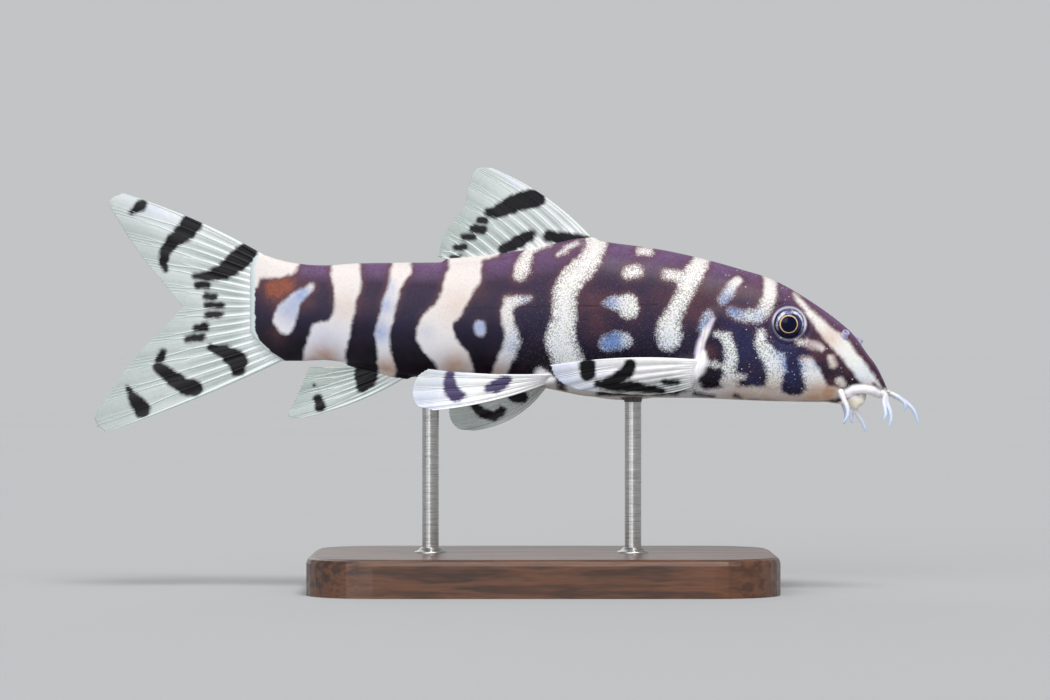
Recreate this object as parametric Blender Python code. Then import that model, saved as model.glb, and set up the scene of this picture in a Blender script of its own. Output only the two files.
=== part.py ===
"""Spotted loach at life size, a still model held up by a plain display stand.

The fish's own frame has +X to the snout, +Z to the back and -Y to its right side, the side
that is shown. Sizes and places are in millimetres, and every mesh is made in metres. The body
is one smooth form of upright sections, parted at the gill edge and in front of the tail.
"""

import math

import bmesh
import bpy
import numpy as np
from mathutils import Euler, Vector

MM = 0.001
GAP = 0.3  # between pieces that touch

# The stand and how high it holds the fish's own zero height
LIFT = 36.0
BASE_LENGTH = 62.0
BASE_WIDTH = 40.0
BASE_THICKNESS = 5.0
BASE_CENTRE = 5.0
BASE_CORNER = 9.0
BASE_EDGE = 0.8
ROD_RADIUS = 1.1
ROD_SINK = 3.0
ROD_PLACES = {"stand_rod_front": 17.0, "stand_rod_rear": -10.0}

# Upright sections of the body: place along X, back, belly, half width
SECTIONS = np.array(
    (
        (-33.4, 9.15, -5.5, 0.95),
        (-30.0, 8.0, -5.45, 1.7),
        (-27.0, 7.45, -5.45, 2.2),
        (-24.0, 7.3, -5.35, 2.6),
        (-20.0, 7.55, -5.9, 3.1),
        (-14.0, 7.65, -7.35, 3.8),
        (-7.4, 7.75, -7.75, 4.5),
        (-0.7, 8.4, -8.05, 5.1),
        (5.4, 9.45, -9.1, 5.5),
        (11.3, 10.6, -10.2, 5.8),
        (15.3, 10.15, -10.3, 5.9),
        (20.6, 9.4, -10.35, 6.0),
        (25.9, 8.25, -10.4, 6.0),
        (31.3, 6.75, -10.65, 5.75),
        (35.3, 5.45, -10.8, 5.3),
        (37.9, 4.15, -10.85, 4.9),
        (40.3, 2.65, -10.9, 4.4),
        (42.5, 1.15, -10.85, 3.85),
        (44.5, -0.4, -10.4, 3.3),
        (46.3, -2.1, -9.55, 2.85),
        (48.0, -4.5, -9.4, 2.4),
        (49.2, -6.15, -9.55, 1.95),
        (50.1, -7.95, -9.8, 1.35),
        (50.65, -9.2, -9.75, 0.6),
    )
)
# Place along X, height of the widest point as a share, roundness of the back and of the belly
ROUNDING = np.array(
    (
        (-33.4, 0.5, 2.0, 2.0),
        (-10.0, 0.48, 2.0, 2.1),
        (12.0, 0.46, 1.9, 2.3),
        (26.0, 0.43, 2.0, 2.5),
        (38.0, 0.38, 2.1, 2.6),
        (50.65, 0.4, 2.0, 2.2),
    )
)
GILL_X = 26.2
GILL_LEAN, GILL_MIDDLE = 1.05, -2.2
GILL_REACH = 5.0
GILL_TOP, GILL_BOTTOM = 0.9, -9.4
GILL_STEP = 0.35
VENT_X = -16.0
TAIL_X = -33.4
TAIL_REACH = 8.4
SNOUT_X = 50.65

# The spine bends a little, the head to the right and the tail to the left
HEAD_BEND_START, HEAD_BEND = 12.0, -3.2
TAIL_BEND_START, TAIL_BEND = -8.0, 2.0
TAIL_TIP_X = -55.0

EYE_X, EYE_Z = 37.87, -0.57
EYE_RADIUS, EYE_DEPTH = 1.95, 1.3
EYE_SINK = 0.5
EYE_PITCH, EYE_YAW = math.radians(12), math.radians(9)
RIM_RADIUS, RIM_OFFSET = 0.26, 0.16
RIM_SEGMENTS, RIM_SIDES = 24, 5

NOSTRIL_X, NOSTRIL_Z = 45.0, -2.0
NOSTRIL_RADIUS, NOSTRIL_BORE, NOSTRIL_HEIGHT = 0.5, 0.24, 0.75
NOSTRIL_SINK, NOSTRIL_FLOOR = 0.25, 0.35
NOSTRIL_LEAN = (0.35, 0.62, 0.7)

# Half of each lip from the corner of the mouth to the middle, the jaw and the lobes of the chin
UPPER_LIP = ((44.8, 1.9, -9.75), (46.0, 1.95, -9.25), (47.3, 1.8, -9.15), (48.5, 1.4, -9.35),
             (49.4, 0.75, -9.75), (49.7, 0.0, -9.9))
LOWER_LIP = ((44.9, 1.75, -10.0), (45.7, 1.4, -10.25), (46.7, 0.8, -10.4), (47.0, 0.0, -10.4))
UPPER_LIP_RADIUS, LOWER_LIP_RADIUS = 0.55, 0.42
LIP_RINGS = 24
JAW_PLACE, JAW_RADII = (45.0, 0.0, -10.1), (2.3, 1.9, 1.1)
CHIN_PLACE, CHIN_RADII = (46.2, 0.7, -10.7), (1.35, 0.95, 1.05)
RING_SIDES = 36

# A ray stands out from the fin's membrane, and its foot is a share of the space between rays
RAY_RISE = 0.13
RAY_FOOT = 0.24


def smooth_through(x, xs, ys):
    """Cubic curve through the points (xs, ys), read at x."""
    slopes = np.gradient(ys, xs)
    i = np.clip(np.searchsorted(xs, x) - 1, 0, len(xs) - 2)
    step = xs[i + 1] - xs[i]
    t = np.clip((x - xs[i]) / step, 0.0, 1.0)
    start = (2 * t**3 - 3 * t**2 + 1) * ys[i] + (t**3 - 2 * t**2 + t) * step * slopes[i]
    end = (3 * t**2 - 2 * t**3) * ys[i + 1] + (t**3 - t**2) * step * slopes[i + 1]
    return start + end


def ease(t):
    """0 to 1 with level ends."""
    t = np.clip(t, 0.0, 1.0)
    return t * t * (3 - 2 * t)


def section(x):
    """Back, belly, half width, widest height and the two roundings of the section at x."""
    back, belly, half = (smooth_through(x, SECTIONS[:, 0], SECTIONS[:, k]) for k in (1, 2, 3))
    share, round_up, round_down = (
        np.interp(x, ROUNDING[:, 0], ROUNDING[:, k]) for k in (1, 2, 3)
    )
    return back, belly, half, belly + share * (back - belly), round_up, round_down


def gill_edge(z):
    """How far the gill edge leans forward of GILL_X at height z."""
    return GILL_LEAN * np.tanh((z - GILL_MIDDLE) / 5.0)


def tail_edge(z):
    """How far the end of the tail lies forward of TAIL_X at height z."""
    low = np.clip((-1.3 - z) / 4.2, 0.0, None)
    high = np.clip((z - 6.5) / 2.6, 0.0, None)
    return 4.0 * low**1.6 + 0.9 * high**2


def ring_x(station, z):
    """Place along X of a ring's point, which follows the gill edge or the tail's end."""
    near_gill = np.clip(1 - abs(station - GILL_X) / GILL_REACH, 0.0, 1.0)
    near_tail = np.clip((TAIL_X + TAIL_REACH - station) / TAIL_REACH, 0.0, 1.0)
    return station + near_gill * gill_edge(z) + near_tail * tail_edge(z)


def gill_relief(x, z):
    """How far the gill cover stands out from the body, most at its rear edge."""
    ahead = x - (GILL_X + gill_edge(z))
    along = ease(1 - ahead / 6.0)
    upright = ease((GILL_TOP + 0.8 - z) / 1.2) * ease((z - GILL_BOTTOM) / 1.5)
    return GILL_STEP * along * upright


def skin_half_width(x, z, swell=0.0):
    """Distance from the middle plane, at x and z, of the skin or of a layer swell outside it."""
    back, belly, half, middle, round_up, round_down = section(x)
    back, belly, half = back + swell, belly - swell, half + swell
    up = z >= middle
    height = np.where(up, back - middle, middle - belly)
    rounding = np.where(up, round_up, round_down)
    share = np.clip(abs(z - middle) / height, 0.0, 1.0)
    return half * (1 - share**rounding) ** (1 / rounding)


def skin_ring(station, sides, relief):
    """One ring of the body's skin, counted from the back down the left side."""
    angle = np.arange(sides) * 2 * math.pi / sides
    across, up = np.sin(angle), np.cos(angle)
    x = np.full(sides, float(station))
    for _ in range(4):
        back, belly, half, middle, round_up, round_down = section(x)
        rounding = np.where(up >= 0, round_up, round_down)
        height = np.where(up >= 0, back - middle, middle - belly)
        z = middle + height * np.sign(up) * abs(up) ** (2 / rounding)
        x = ring_x(station, z)
    y = half * np.sign(across) * abs(across) ** (2 / rounding)
    if relief:
        y = y + np.sign(np.round(across, 6)) * gill_relief(x, z)
    return np.stack((x, y, z), 1)


def posed(points):
    """The points moved sideways with the bend of the spine."""
    points = np.array(points, float)
    x = points[..., 0]
    head = np.clip((x - HEAD_BEND_START) / (SNOUT_X - HEAD_BEND_START), 0.0, None)
    tail = np.clip((TAIL_BEND_START - x) / (TAIL_BEND_START - TAIL_TIP_X), 0.0, None)
    points[..., 1] += HEAD_BEND * head**2 + TAIL_BEND * tail**2
    return points


def curve_through(points, samples=60):
    """A smooth curve through a few points, as evenly spaced points."""
    points = np.array(points, float)
    marks = np.concatenate(((0,), np.cumsum(np.linalg.norm(np.diff(points, axis=0), axis=1))))
    fine = np.linspace(0, marks[-1], 8 * samples)
    line = np.stack([smooth_through(fine, marks, column) for column in points.T], 1)
    length = np.concatenate(((0,), np.cumsum(np.linalg.norm(np.diff(line, axis=0), axis=1))))
    even = np.linspace(0, length[-1], samples)
    return np.stack([np.interp(even, length, column) for column in line.T], 1)


def read_curve(curve, share):
    """Points of a sampled curve at shares of its length from 0 to 1."""
    marks = np.linspace(0, 1, len(curve))
    return np.stack([np.interp(share, marks, column) for column in curve.T], -1)


def loft(rings):
    """Closed surface over rings that start at the back and mirror in the middle plane."""
    count, sides = len(rings), len(rings[0])
    points = np.concatenate(rings)
    faces = []
    for i in range(count - 1):
        for j in range(sides):
            k = (j + 1) % sides
            a, b = i * sides, (i + 1) * sides
            faces.append((a + j, b + j, b + k, a + k))
    for start, flip in ((0, False), ((count - 1) * sides, True)):
        for j in range(sides // 2):
            right = (sides - j) % sides
            cap = [start + j, start + j + 1, start + sides - j - 1, start + right]
            cap = list(dict.fromkeys(cap))
            faces.append(tuple(reversed(cap)) if flip else tuple(cap))
    return points, faces


def tube(path, radii, sides, level=(0.0, 1.0, 0.0)):
    """Round tube along a path, closed at both ends. It never runs along the level direction."""
    path = np.array(path, float)
    along = np.gradient(path, axis=0)
    along /= np.linalg.norm(along, axis=1, keepdims=True)
    side = np.cross(along, level)
    side /= np.linalg.norm(side, axis=1, keepdims=True)
    other = np.cross(along, side)
    angle = np.arange(sides) * 2 * math.pi / sides
    rings = [
        p + r * (np.outer(np.cos(angle), s) + np.outer(np.sin(angle), o))
        for p, r, s, o in zip(path, radii, side, other)
    ]
    points = np.concatenate(rings)
    last = (len(path) - 1) * sides
    faces = [
        (i * sides + j, i * sides + (j + 1) % sides, (i + 1) * sides + (j + 1) % sides,
         (i + 1) * sides + j)
        for i in range(len(path) - 1)
        for j in range(sides)
    ]
    faces.append(tuple(reversed(range(sides))))
    faces.append(tuple(range(last, last + sides)))
    return points, faces


def slab(grid, half):
    """Thin closed sheet about a grid of points, with the same triangles on both faces."""
    rows, columns = grid.shape[:2]
    normal = np.cross(np.gradient(grid, axis=0), np.gradient(grid, axis=1))
    normal /= np.linalg.norm(normal, axis=2, keepdims=True)
    offset = normal * half[..., None]
    points = np.concatenate(((grid + offset).reshape(-1, 3), (grid - offset).reshape(-1, 3)))
    size = rows * columns
    faces = []
    for i in range(rows - 1):
        for j in range(columns - 1):
            a = i * columns + j
            b, c, d = a + 1, a + columns + 1, a + columns
            faces += [(a, c, b), (a, d, c), (size + a, size + b, size + c)]
            faces.append((size + a, size + c, size + d))
    rim = list(range(columns))
    rim += [i * columns + columns - 1 for i in range(1, rows)]
    rim += [(rows - 1) * columns + j for j in range(columns - 2, -1, -1)]
    rim += [i * columns for i in range(rows - 2, 0, -1)]
    for a, b in zip(rim, rim[1:] + rim[:1]):
        faces.append((a, b, size + b, size + a))
    return points, faces


def fin_sheet(spec, reach_side):
    """Grid of a fin's middle surface from its root to its free edge, and its half thickness.

    The root and the free edge are curves of (x, z) from the leading ray to the last one, and
    reach_side gives the distance from the middle plane at each (x, z) and share of length.
    """
    shares, rise = ray_columns(spec["rays"])
    length = np.linspace(0, 1, spec["rows"] + 1) ** 0.9
    root = read_curve(curve_through(spec["root"]), shares)
    edge = read_curve(curve_through(spec["edge"]), shares)
    chord = edge - root
    square = np.stack((-chord[:, 1], chord[:, 0]), 1)
    square /= np.linalg.norm(square, axis=1, keepdims=True)
    bow = np.interp(shares, (0, 1), spec["bow"])
    t = length[:, None, None]
    flat = root + t * chord + (4 * t * (1 - t)) * square * bow[:, None]
    x, z = flat[..., 0], flat[..., 1]
    y = reach_side(x, z, length[:, None], shares[None, :])
    thick = np.interp(length, (0, 0.22, 0.82, 1), (spec["root_half"], 0.27, 0.25, 0.12))
    lead = 0.1 * np.clip(1 - shares * spec["rays"], 0, 1)
    ridge = RAY_RISE * np.interp(length, (0, 0.1, 0.8, 1), (0.3, 1.0, 0.5, 0.0))
    half = thick[:, None] + ridge[:, None] * rise + (1 - length[:, None]) * lead
    return np.stack((x, y, z), -1), half


def ray_columns(rays):
    """Shares across a fin of each ray's two feet and its crest, and the crest's mark."""
    shares, rise = [], []
    for k in range(rays):
        middle = k / (rays - 1)
        foot = RAY_FOOT / (rays - 1)
        for share, mark in ((middle - foot, 0), (middle, 1), (middle + foot, 0)):
            if -1e-9 <= share <= 1 + 1e-9:
                shares.append(share)
                rise.append(mark)
    return np.array(shares), np.array(rise, float)


# Fins in side view, as (x, z) points from the leading ray to the last
DORSAL = {
    "root": ((11.2, 10.95), (5.4, 9.8), (-0.7, 8.75), (-7.3, 8.1)),
    "edge": ((-2.0, 20.3), (-3.9, 20.2), (-4.8, 18.6), (-5.6, 15.0), (-7.1, 13.1),
             (-8.3, 11.0), (-9.0, 8.5)),
    "bow": (-0.9, 0.0), "rays": 10, "rows": 8, "root_half": 0.55,
}
CAUDAL_SPLIT_Z = 1.75
CAUDAL_UPPER = {
    "edge": ((-51.4, 17.0), (-53.0, 16.2), (-51.4, 12.5), (-48.7, 8.5), (-45.5, 4.6),
             (-43.2, 2.0)),
    "bow": (-0.55, 0.0), "rays": 9, "rows": 9, "root_half": 0.6,
}
CAUDAL_LOWER = {
    "edge": ((-43.2, 1.6), (-45.3, -0.6), (-49.4, -4.7), (-52.6, -9.2), (-54.8, -14.0),
             (-53.6, -15.0)),
    "bow": (0.0, 0.35), "rays": 9, "rows": 9, "root_half": 0.6,
}
ANAL = {
    "root": ((-13.9, -7.7), (-17.0, -6.95), (-20.1, -6.2)),
    "edge": ((-27.4, -13.05), (-29.0, -12.8), (-28.2, -10.9), (-27.2, -8.8), (-26.2, -6.3)),
    "bow": (0.6, 0.1), "rays": 7, "rows": 7, "root_half": 0.5,
}
PELVIC_RIGHT = {
    "root": ((5.1, -8.4), (5.3, -7.3)),
    "edge": ((-9.6, -11.9), (-11.9, -11.1), (-12.2, -9.2), (-11.4, -7.3), (-10.2, -6.5)),
    "bow": (0.55, 0.3), "rays": 8, "rows": 7, "root_half": 0.5,
    "out": (0.36, 0.24),
}
PELVIC_LEFT = {
    "root": ((5.5, -8.6), (5.3, -7.6)),
    "edge": ((-4.6, -14.9), (-6.7, -14.5), (-7.7, -12.6), (-7.2, -10.5), (-6.4, -9.3)),
    "bow": (1.35, 0.3), "rays": 8, "rows": 7, "root_half": 0.5,
    "out": (0.4, 0.28),
}
PECTORAL_RIGHT = {
    "root": ((24.7, -5.4), (24.4, -7.2), (24.2, -8.9)),
    "edge": ((5.9, -6.0), (6.4, -7.4), (8.6, -8.9), (12.4, -9.5), (18.2, -9.9)),
    "bow": (-0.55, 0.25), "rays": 11, "rows": 8, "root_half": 0.6,
    "out": (0.5, 0.28),
}
PECTORAL_LEFT = {
    "root": ((24.2, -8.9), (24.4, -7.6), (24.6, -6.2)),
    "edge": ((7.2, -8.7), (7.4, -7.6), (9.4, -6.5), (13.0, -5.9), (18.0, -5.6)),
    "bow": (1.85, -0.3), "rays": 11, "rows": 8, "root_half": 0.6,
    "out": (0.48, 0.3),
}

# Feelers: where each grows, how far outside the skin, and steps from there to its tip. The
# steps are given for the right side, so a left one's run the other way in Y
BARBELS = {
    "rostral_barbels_right": (
        -1, (50.2, -9.95, 0.75),
        ((0.0, 0.0, 0.0), (-0.15, -0.25, -0.9), (-0.05, -0.5, -1.8), (0.0, -0.7, -2.6),
         (-0.3, -0.8, -3.4)),
        ((0.0, 0.0, 0.0), (0.2, -0.05, -1.0), (0.6, -0.1, -2.1), (0.75, -0.15, -3.2),
         (0.45, -0.2, -4.3)),
    ),
    "rostral_barbels_left": (
        1, (50.7, -9.6, 0.9),
        ((0.0, 0.0, 0.0), (0.9, -0.1, -0.35), (1.8, -0.15, -0.85), (2.4, -0.2, -1.6),
         (2.3, -0.3, -2.6)),
        ((0.0, 0.0, 0.0), (1.0, -0.25, -0.5), (2.2, -0.5, -1.15), (3.5, -0.8, -2.3),
         (4.25, -1.0, -4.2)),
    ),
    "maxillary_barbel_right": (
        -1, (44.4, -9.75, 0.5),
        ((0.0, 0.0, 0.0), (0.35, -0.2, -0.9), (0.75, -0.35, -1.9), (0.75, -0.45, -2.9),
         (0.2, -0.5, -3.9)),
    ),
    "maxillary_barbel_left": (
        1, (44.4, -9.75, 0.5),
        ((0.0, 0.0, 0.0), (0.45, -0.2, -1.0), (0.95, -0.4, -2.1), (1.1, -0.6, -3.1),
         (0.8, -0.8, -4.2)),
    ),
    "mandibular_barbel_right": (
        -1, (46.0, -12.0, 2.2),
        ((0.0, 0.0, 0.0), (-0.1, -0.1, -0.55), (-0.1, -0.15, -1.1), (0.05, -0.2, -1.7)),
    ),
    "mandibular_barbel_left": (
        1, (46.5, -12.0, 2.2),
        ((0.0, 0.0, 0.0), (0.45, -0.1, -0.8), (0.95, -0.25, -1.7), (1.35, -0.4, -2.8)),
    ),
}
BARBEL_TAPER = ((0.0, 0.4, 0.85, 1.0), (0.37, 0.3, 0.25, 0.12))
BARBEL_RINGS = 12

MATERIALS = {
    "skin": ((0.16, 0.11, 0.15), 0.35, 0.0),
    "belly": ((0.72, 0.66, 0.56), 0.35, 0.0),
    "fin": ((0.78, 0.8, 0.8), 0.4, 0.0),
    "eye": ((0.02, 0.025, 0.06), 0.08, 0.0),
    "barbel": ((0.85, 0.84, 0.86), 0.4, 0.0),
    "wood": ((0.16, 0.08, 0.04), 0.45, 0.0),
    "steel": ((0.62, 0.6, 0.57), 0.3, 1.0),
}


def clear_scene():
    """Removes the objects that the file starts with."""
    for thing in list(bpy.data.objects):
        bpy.data.objects.remove(thing, do_unlink=True)


def principled(name):
    """A material of its own for one piece, with the part's colour, roughness and metal."""
    colour, roughness, metallic = MATERIALS[name.split(".")[0]]
    material = bpy.data.materials.new(name)
    material.use_nodes = True
    shader = material.node_tree.nodes["Principled BSDF"]
    shader.inputs["Base Color"].default_value = (*colour, 1.0)
    shader.inputs["Roughness"].default_value = roughness
    shader.inputs["Metallic"].default_value = metallic
    return material


def closed_mesh(name, points, faces):
    """A mesh in metres from points in millimetres, with its faces turned outwards."""
    shape = bmesh.new()
    corners = [shape.verts.new(Vector(p) * MM) for p in points]
    for face in faces:
        shape.faces.new([corners[k] for k in face])
    bmesh.ops.recalc_face_normals(shape, faces=shape.faces)
    if shape.calc_volume(signed=True) < 0:
        bmesh.ops.reverse_faces(shape, faces=shape.faces)
    mesh = bpy.data.meshes.new(name)
    shape.to_mesh(mesh)
    shape.free()
    return mesh


def add_piece(name, mesh, finish, collection, parent):
    """Puts a mesh in the scene as one named piece with a material of its own."""
    piece = bpy.data.objects.new(name, mesh)
    mesh.materials.clear()
    mesh.materials.append(principled(f"{finish}.{name}"))
    mesh.shade_smooth()
    mesh.set_sharp_from_angle(angle=math.radians(40))
    collection.objects.link(piece)
    piece.parent = parent
    return piece


def largest_surface(mesh):
    """Keeps only the largest closed surface of a mesh, by the box round it."""
    shape = bmesh.new()
    shape.from_mesh(mesh)
    left = set(shape.verts)
    surfaces = []
    while left:
        found, queue = [], [left.pop()]
        while queue:
            corner = queue.pop()
            found.append(corner)
            for edge in corner.link_edges:
                other = edge.other_vert(corner)
                if other in left:
                    left.discard(other)
                    queue.append(other)
        spans = [np.ptp([corner.co[axis] for corner in found]) for axis in range(3)]
        surfaces.append((float(np.prod(spans)), found))
    surfaces.sort(key=lambda entry: entry[0])
    for _, scrap in surfaces[:-1]:
        bmesh.ops.delete(shape, geom=scrap, context="VERTS")
    bmesh.ops.triangulate(shape, faces=shape.faces)
    shape.to_mesh(mesh)
    shape.free()


def combined(name, body, joined, cut):
    """One closed mesh: body with the joined meshes added and the cut meshes taken away."""
    whole = bpy.data.objects.new(name, body)
    bpy.context.scene.collection.objects.link(whole)
    groups = []
    for operation, meshes in (("UNION", joined), ("DIFFERENCE", cut)):
        if not meshes:
            continue
        group = bpy.data.collections.new(f"{name}_{operation.lower()}")
        bpy.context.scene.collection.children.link(group)
        groups.append(group)
        for mesh in meshes:
            tool = bpy.data.objects.new(f"{name}_tool", mesh)
            tool.display_type = "WIRE"
            tool.hide_render = True
            group.objects.link(tool)
        step = whole.modifiers.new(operation.title(), "BOOLEAN")
        step.operation = operation
        step.operand_type = "COLLECTION"
        step.collection = group
    depsgraph = bpy.context.evaluated_depsgraph_get()
    result = bpy.data.meshes.new_from_object(whole.evaluated_get(depsgraph))
    for group in groups:
        for tool in list(group.objects):
            bpy.data.objects.remove(tool, do_unlink=True)
        bpy.data.collections.remove(group)
    bpy.data.objects.remove(whole, do_unlink=True)
    largest_surface(result)
    return result


def ball(radii, centre, turn=(0.0, 0.0, 0.0), segments=20, rings=10):
    """An ellipsoid from a sphere, in metres."""
    shape = bmesh.new()
    bmesh.ops.create_uvsphere(shape, u_segments=segments, v_segments=rings, radius=1.0)
    bmesh.ops.scale(shape, vec=Vector(radii) * MM, verts=shape.verts)
    bmesh.ops.rotate(shape, matrix=Euler(turn).to_matrix(), verts=shape.verts)
    bmesh.ops.translate(shape, vec=Vector(centre) * MM, verts=shape.verts)
    mesh = bpy.data.meshes.new("ball")
    shape.to_mesh(mesh)
    shape.free()
    return mesh


def body_stations(start, end, spacing):
    """Even places along X from start to end."""
    count = max(2, round(abs(end - start) / spacing))
    return np.linspace(start, end, count + 1)


def eye_place(side):
    """Centre and turn of an eye. side is -1 for the right one and 1 for the left one."""
    reach = float(skin_half_width(EYE_X, EYE_Z)) - EYE_SINK
    centre = posed((EYE_X, side * reach, EYE_Z))
    return centre, (-side * EYE_PITCH, 0.0, -side * EYE_YAW)


def eye_rim(side):
    """The raised skin round an eye, a thin closed roll that follows the head's side."""
    angle = np.arange(RIM_SEGMENTS) * 2 * math.pi / RIM_SEGMENTS
    reach = EYE_RADIUS + GAP + RIM_OFFSET
    x, z = EYE_X + reach * np.cos(angle), EYE_Z + reach * np.sin(angle)
    path = posed(np.stack((x, side * skin_half_width(x, z), z), 1))
    outward = np.stack((np.cos(angle), np.zeros(RIM_SEGMENTS), np.sin(angle)), 1)
    points = []
    for k in range(RIM_SIDES):
        turn = 2 * math.pi * k / RIM_SIDES
        sideways = np.array((0.0, side * math.sin(turn), 0.0))
        points.append(path + RIM_RADIUS * (math.cos(turn) * outward + sideways))
    faces = []
    for k in range(RIM_SIDES):
        a, b = k * RIM_SEGMENTS, (k + 1) % RIM_SIDES * RIM_SEGMENTS
        for i in range(RIM_SEGMENTS):
            j = (i + 1) % RIM_SEGMENTS
            faces.append((a + i, a + j, b + j, b + i))
    return closed_mesh("eye_rim", np.concatenate(points), faces)


def lip(half, radius):
    """The roll of a lip, from one corner of the mouth round to the other."""
    other = [(x, -y, z) for x, y, z in reversed(half[:-1])]
    path = curve_through(half + tuple(other), LIP_RINGS)
    swell = np.sin(np.linspace(0.25, math.pi - 0.25, len(path))) ** 0.3
    return closed_mesh("lip", *tube(posed(path), radius * swell, 7, (0.0, 0.0, 1.0)))


def nostril(side):
    """The short tube of a nostril and the bore in it."""
    reach = float(skin_half_width(NOSTRIL_X, NOSTRIL_Z))
    root = posed((NOSTRIL_X, side * (reach - NOSTRIL_SINK), NOSTRIL_Z))
    lean = np.array(NOSTRIL_LEAN) * (1, side, 1)
    lean /= np.linalg.norm(lean)
    wall = [root + lean * k for k in (0.0, NOSTRIL_HEIGHT)]
    bore = [root + lean * k for k in (NOSTRIL_FLOOR, 2 * NOSTRIL_HEIGHT)]
    tubes = ((wall, NOSTRIL_RADIUS), (bore, NOSTRIL_BORE))
    return [closed_mesh("nostril", *tube(path, (radius, radius), 8)) for path, radius in tubes]


def make_head(collection, parent):
    """The head from the gill edge to the snout, with its lips, nostrils and eye sockets."""
    stations = np.concatenate(
        (body_stations(GILL_X + GAP / 2, 43.0, 1.1), body_stations(43.7, 49.2, 0.75),
         (49.8, 50.2, 50.5, SNOUT_X))
    )
    rings = [posed(skin_ring(s, RING_SIDES, True)) for s in stations]
    body = closed_mesh("head", *loft(rings))
    joined = [
        lip(UPPER_LIP, UPPER_LIP_RADIUS),
        lip(LOWER_LIP, LOWER_LIP_RADIUS),
        ball(JAW_RADII, posed(JAW_PLACE), segments=16, rings=8),
    ]
    for side in (-1, 1):
        lobe = posed(np.array(CHIN_PLACE) * (1, side, 1))
        joined.append(ball(CHIN_RADII, lobe, segments=12, rings=8))
    cut = []
    for side in (-1, 1):
        wall, bore = nostril(side)
        centre, turn = eye_place(side)
        joined += [wall, eye_rim(side)]
        socket = (EYE_RADIUS + GAP, EYE_DEPTH + GAP, EYE_RADIUS + GAP)
        cut += [bore, ball(socket, centre, turn)]
    add_piece("head", combined("head", body, joined, cut), "belly", collection, parent)


def make_trunk(collection, parent):
    """The torso behind the gills and the tail as far as the tail fin."""
    for name, start, end, spacing in (
        ("torso", GILL_X - GAP / 2, VENT_X + GAP / 2, 1.7),
        ("tail", VENT_X - GAP / 2, TAIL_X, 1.5),
    ):
        stations = body_stations(start, end, spacing)
        rings = [posed(skin_ring(s, RING_SIDES, False)) for s in stations]
        mesh = closed_mesh(name, *loft(rings))
        add_piece(name, mesh, "skin", collection, parent)


def make_eyes(collection, parent):
    """Both eyeballs, each flattened and set in its socket."""
    for name, side in (("eye_right", -1), ("eye_left", 1)):
        centre, turn = eye_place(side)
        mesh = ball((EYE_RADIUS, EYE_DEPTH, EYE_RADIUS), (0, 0, 0))
        piece = add_piece(name, mesh, "eye", collection, parent)
        piece.location = Vector(centre) * MM
        piece.rotation_euler = turn


def caudal_root(high, low):
    """The tail fin's root from one height to another, a gap behind the end of the tail."""
    z = np.linspace(high, low, 12)
    x = TAIL_X + tail_edge(z)
    slope = np.gradient(x, z)
    square = 1 / np.sqrt(1 + slope**2)
    return np.stack((x - GAP * square, z + GAP * square * slope), 1)


def make_median_fins(collection, parent):
    """The fins in the middle plane, with a slight wave toward their free edges."""
    upper = dict(CAUDAL_UPPER, root=caudal_root(8.75, CAUDAL_SPLIT_Z + GAP / 2))
    lower = dict(CAUDAL_LOWER, root=caudal_root(CAUDAL_SPLIT_Z - GAP / 2, -5.2))
    fins = (
        ("dorsal_fin", DORSAL, 0.5, 0.0),
        ("caudal_fin_upper", upper, 0.5, 0.2),
        ("caudal_fin_lower", lower, -0.4, -0.2),
        ("anal_fin", ANAL, -0.5, 0.1),
    )
    for name, spec, sway, ripple in fins:

        def reach_side(x, z, length, share, sway=sway, ripple=ripple):
            return (sway + ripple * np.sin(math.pi * share)) * length**2 + 0 * x

        grid, half = fin_sheet(spec, reach_side)
        mesh = closed_mesh(name, *slab(posed(grid), half))
        add_piece(name, mesh, "fin", collection, parent)


def make_paired_fins(collection, parent):
    """The fins of the breast and belly, spread out from the sides of the body."""
    fins = (
        ("pectoral_fin_right", PECTORAL_RIGHT, -1), ("pectoral_fin_left", PECTORAL_LEFT, 1),
        ("pelvic_fin_right", PELVIC_RIGHT, -1), ("pelvic_fin_left", PELVIC_LEFT, 1),
    )
    for name, spec, side in fins:

        def reach_side(x, z, length, share, spec=spec, side=side):
            clear = GAP + 0.9 * spec["root_half"]
            start = skin_half_width(x[0], z[0], clear)
            away = np.hypot(x - x[0], z - z[0])
            lead, last = spec["out"]
            slope = lead + (last - lead) * share
            return side * (start + slope * away * (1 - 0.012 * away))

        grid, half = fin_sheet(spec, reach_side)
        mesh = closed_mesh(name, *slab(posed(grid), half))
        add_piece(name, mesh, "fin", collection, parent)


def make_barbels(collection, parent):
    """The feelers about the mouth. The two rostral ones of a side are joined at their root."""
    for name, (side, (x, z, clear), *strands) in BARBELS.items():
        root = np.array((x, side * skin_half_width(x, z, clear), z))
        meshes = []
        for strand in strands:
            path = curve_through(root + np.array(strand) * (1, -side, 1), BARBEL_RINGS)
            radii = np.interp(np.linspace(0, 1, BARBEL_RINGS), *BARBEL_TAPER)
            meshes.append(closed_mesh(name, *tube(posed(path), radii, 7)))
        mesh = meshes[0]
        if len(meshes) > 1:
            mesh = combined(name, meshes[0], meshes[1:], [])
        add_piece(name, mesh, "barbel", collection, parent)


def cylinder(radius, bottom, top, x=0.0, sides=24):
    """An upright round bar at place x, from bottom to top, as a mesh in metres."""
    shape = bmesh.new()
    bmesh.ops.create_cone(
        shape, cap_ends=True, segments=sides, radius1=radius * MM, radius2=radius * MM,
        depth=(top - bottom) * MM,
    )
    bmesh.ops.translate(shape, vec=(x * MM, 0, (top + bottom) / 2 * MM), verts=shape.verts)
    mesh = bpy.data.meshes.new("bar")
    shape.to_mesh(mesh)
    shape.free()
    return mesh


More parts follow.
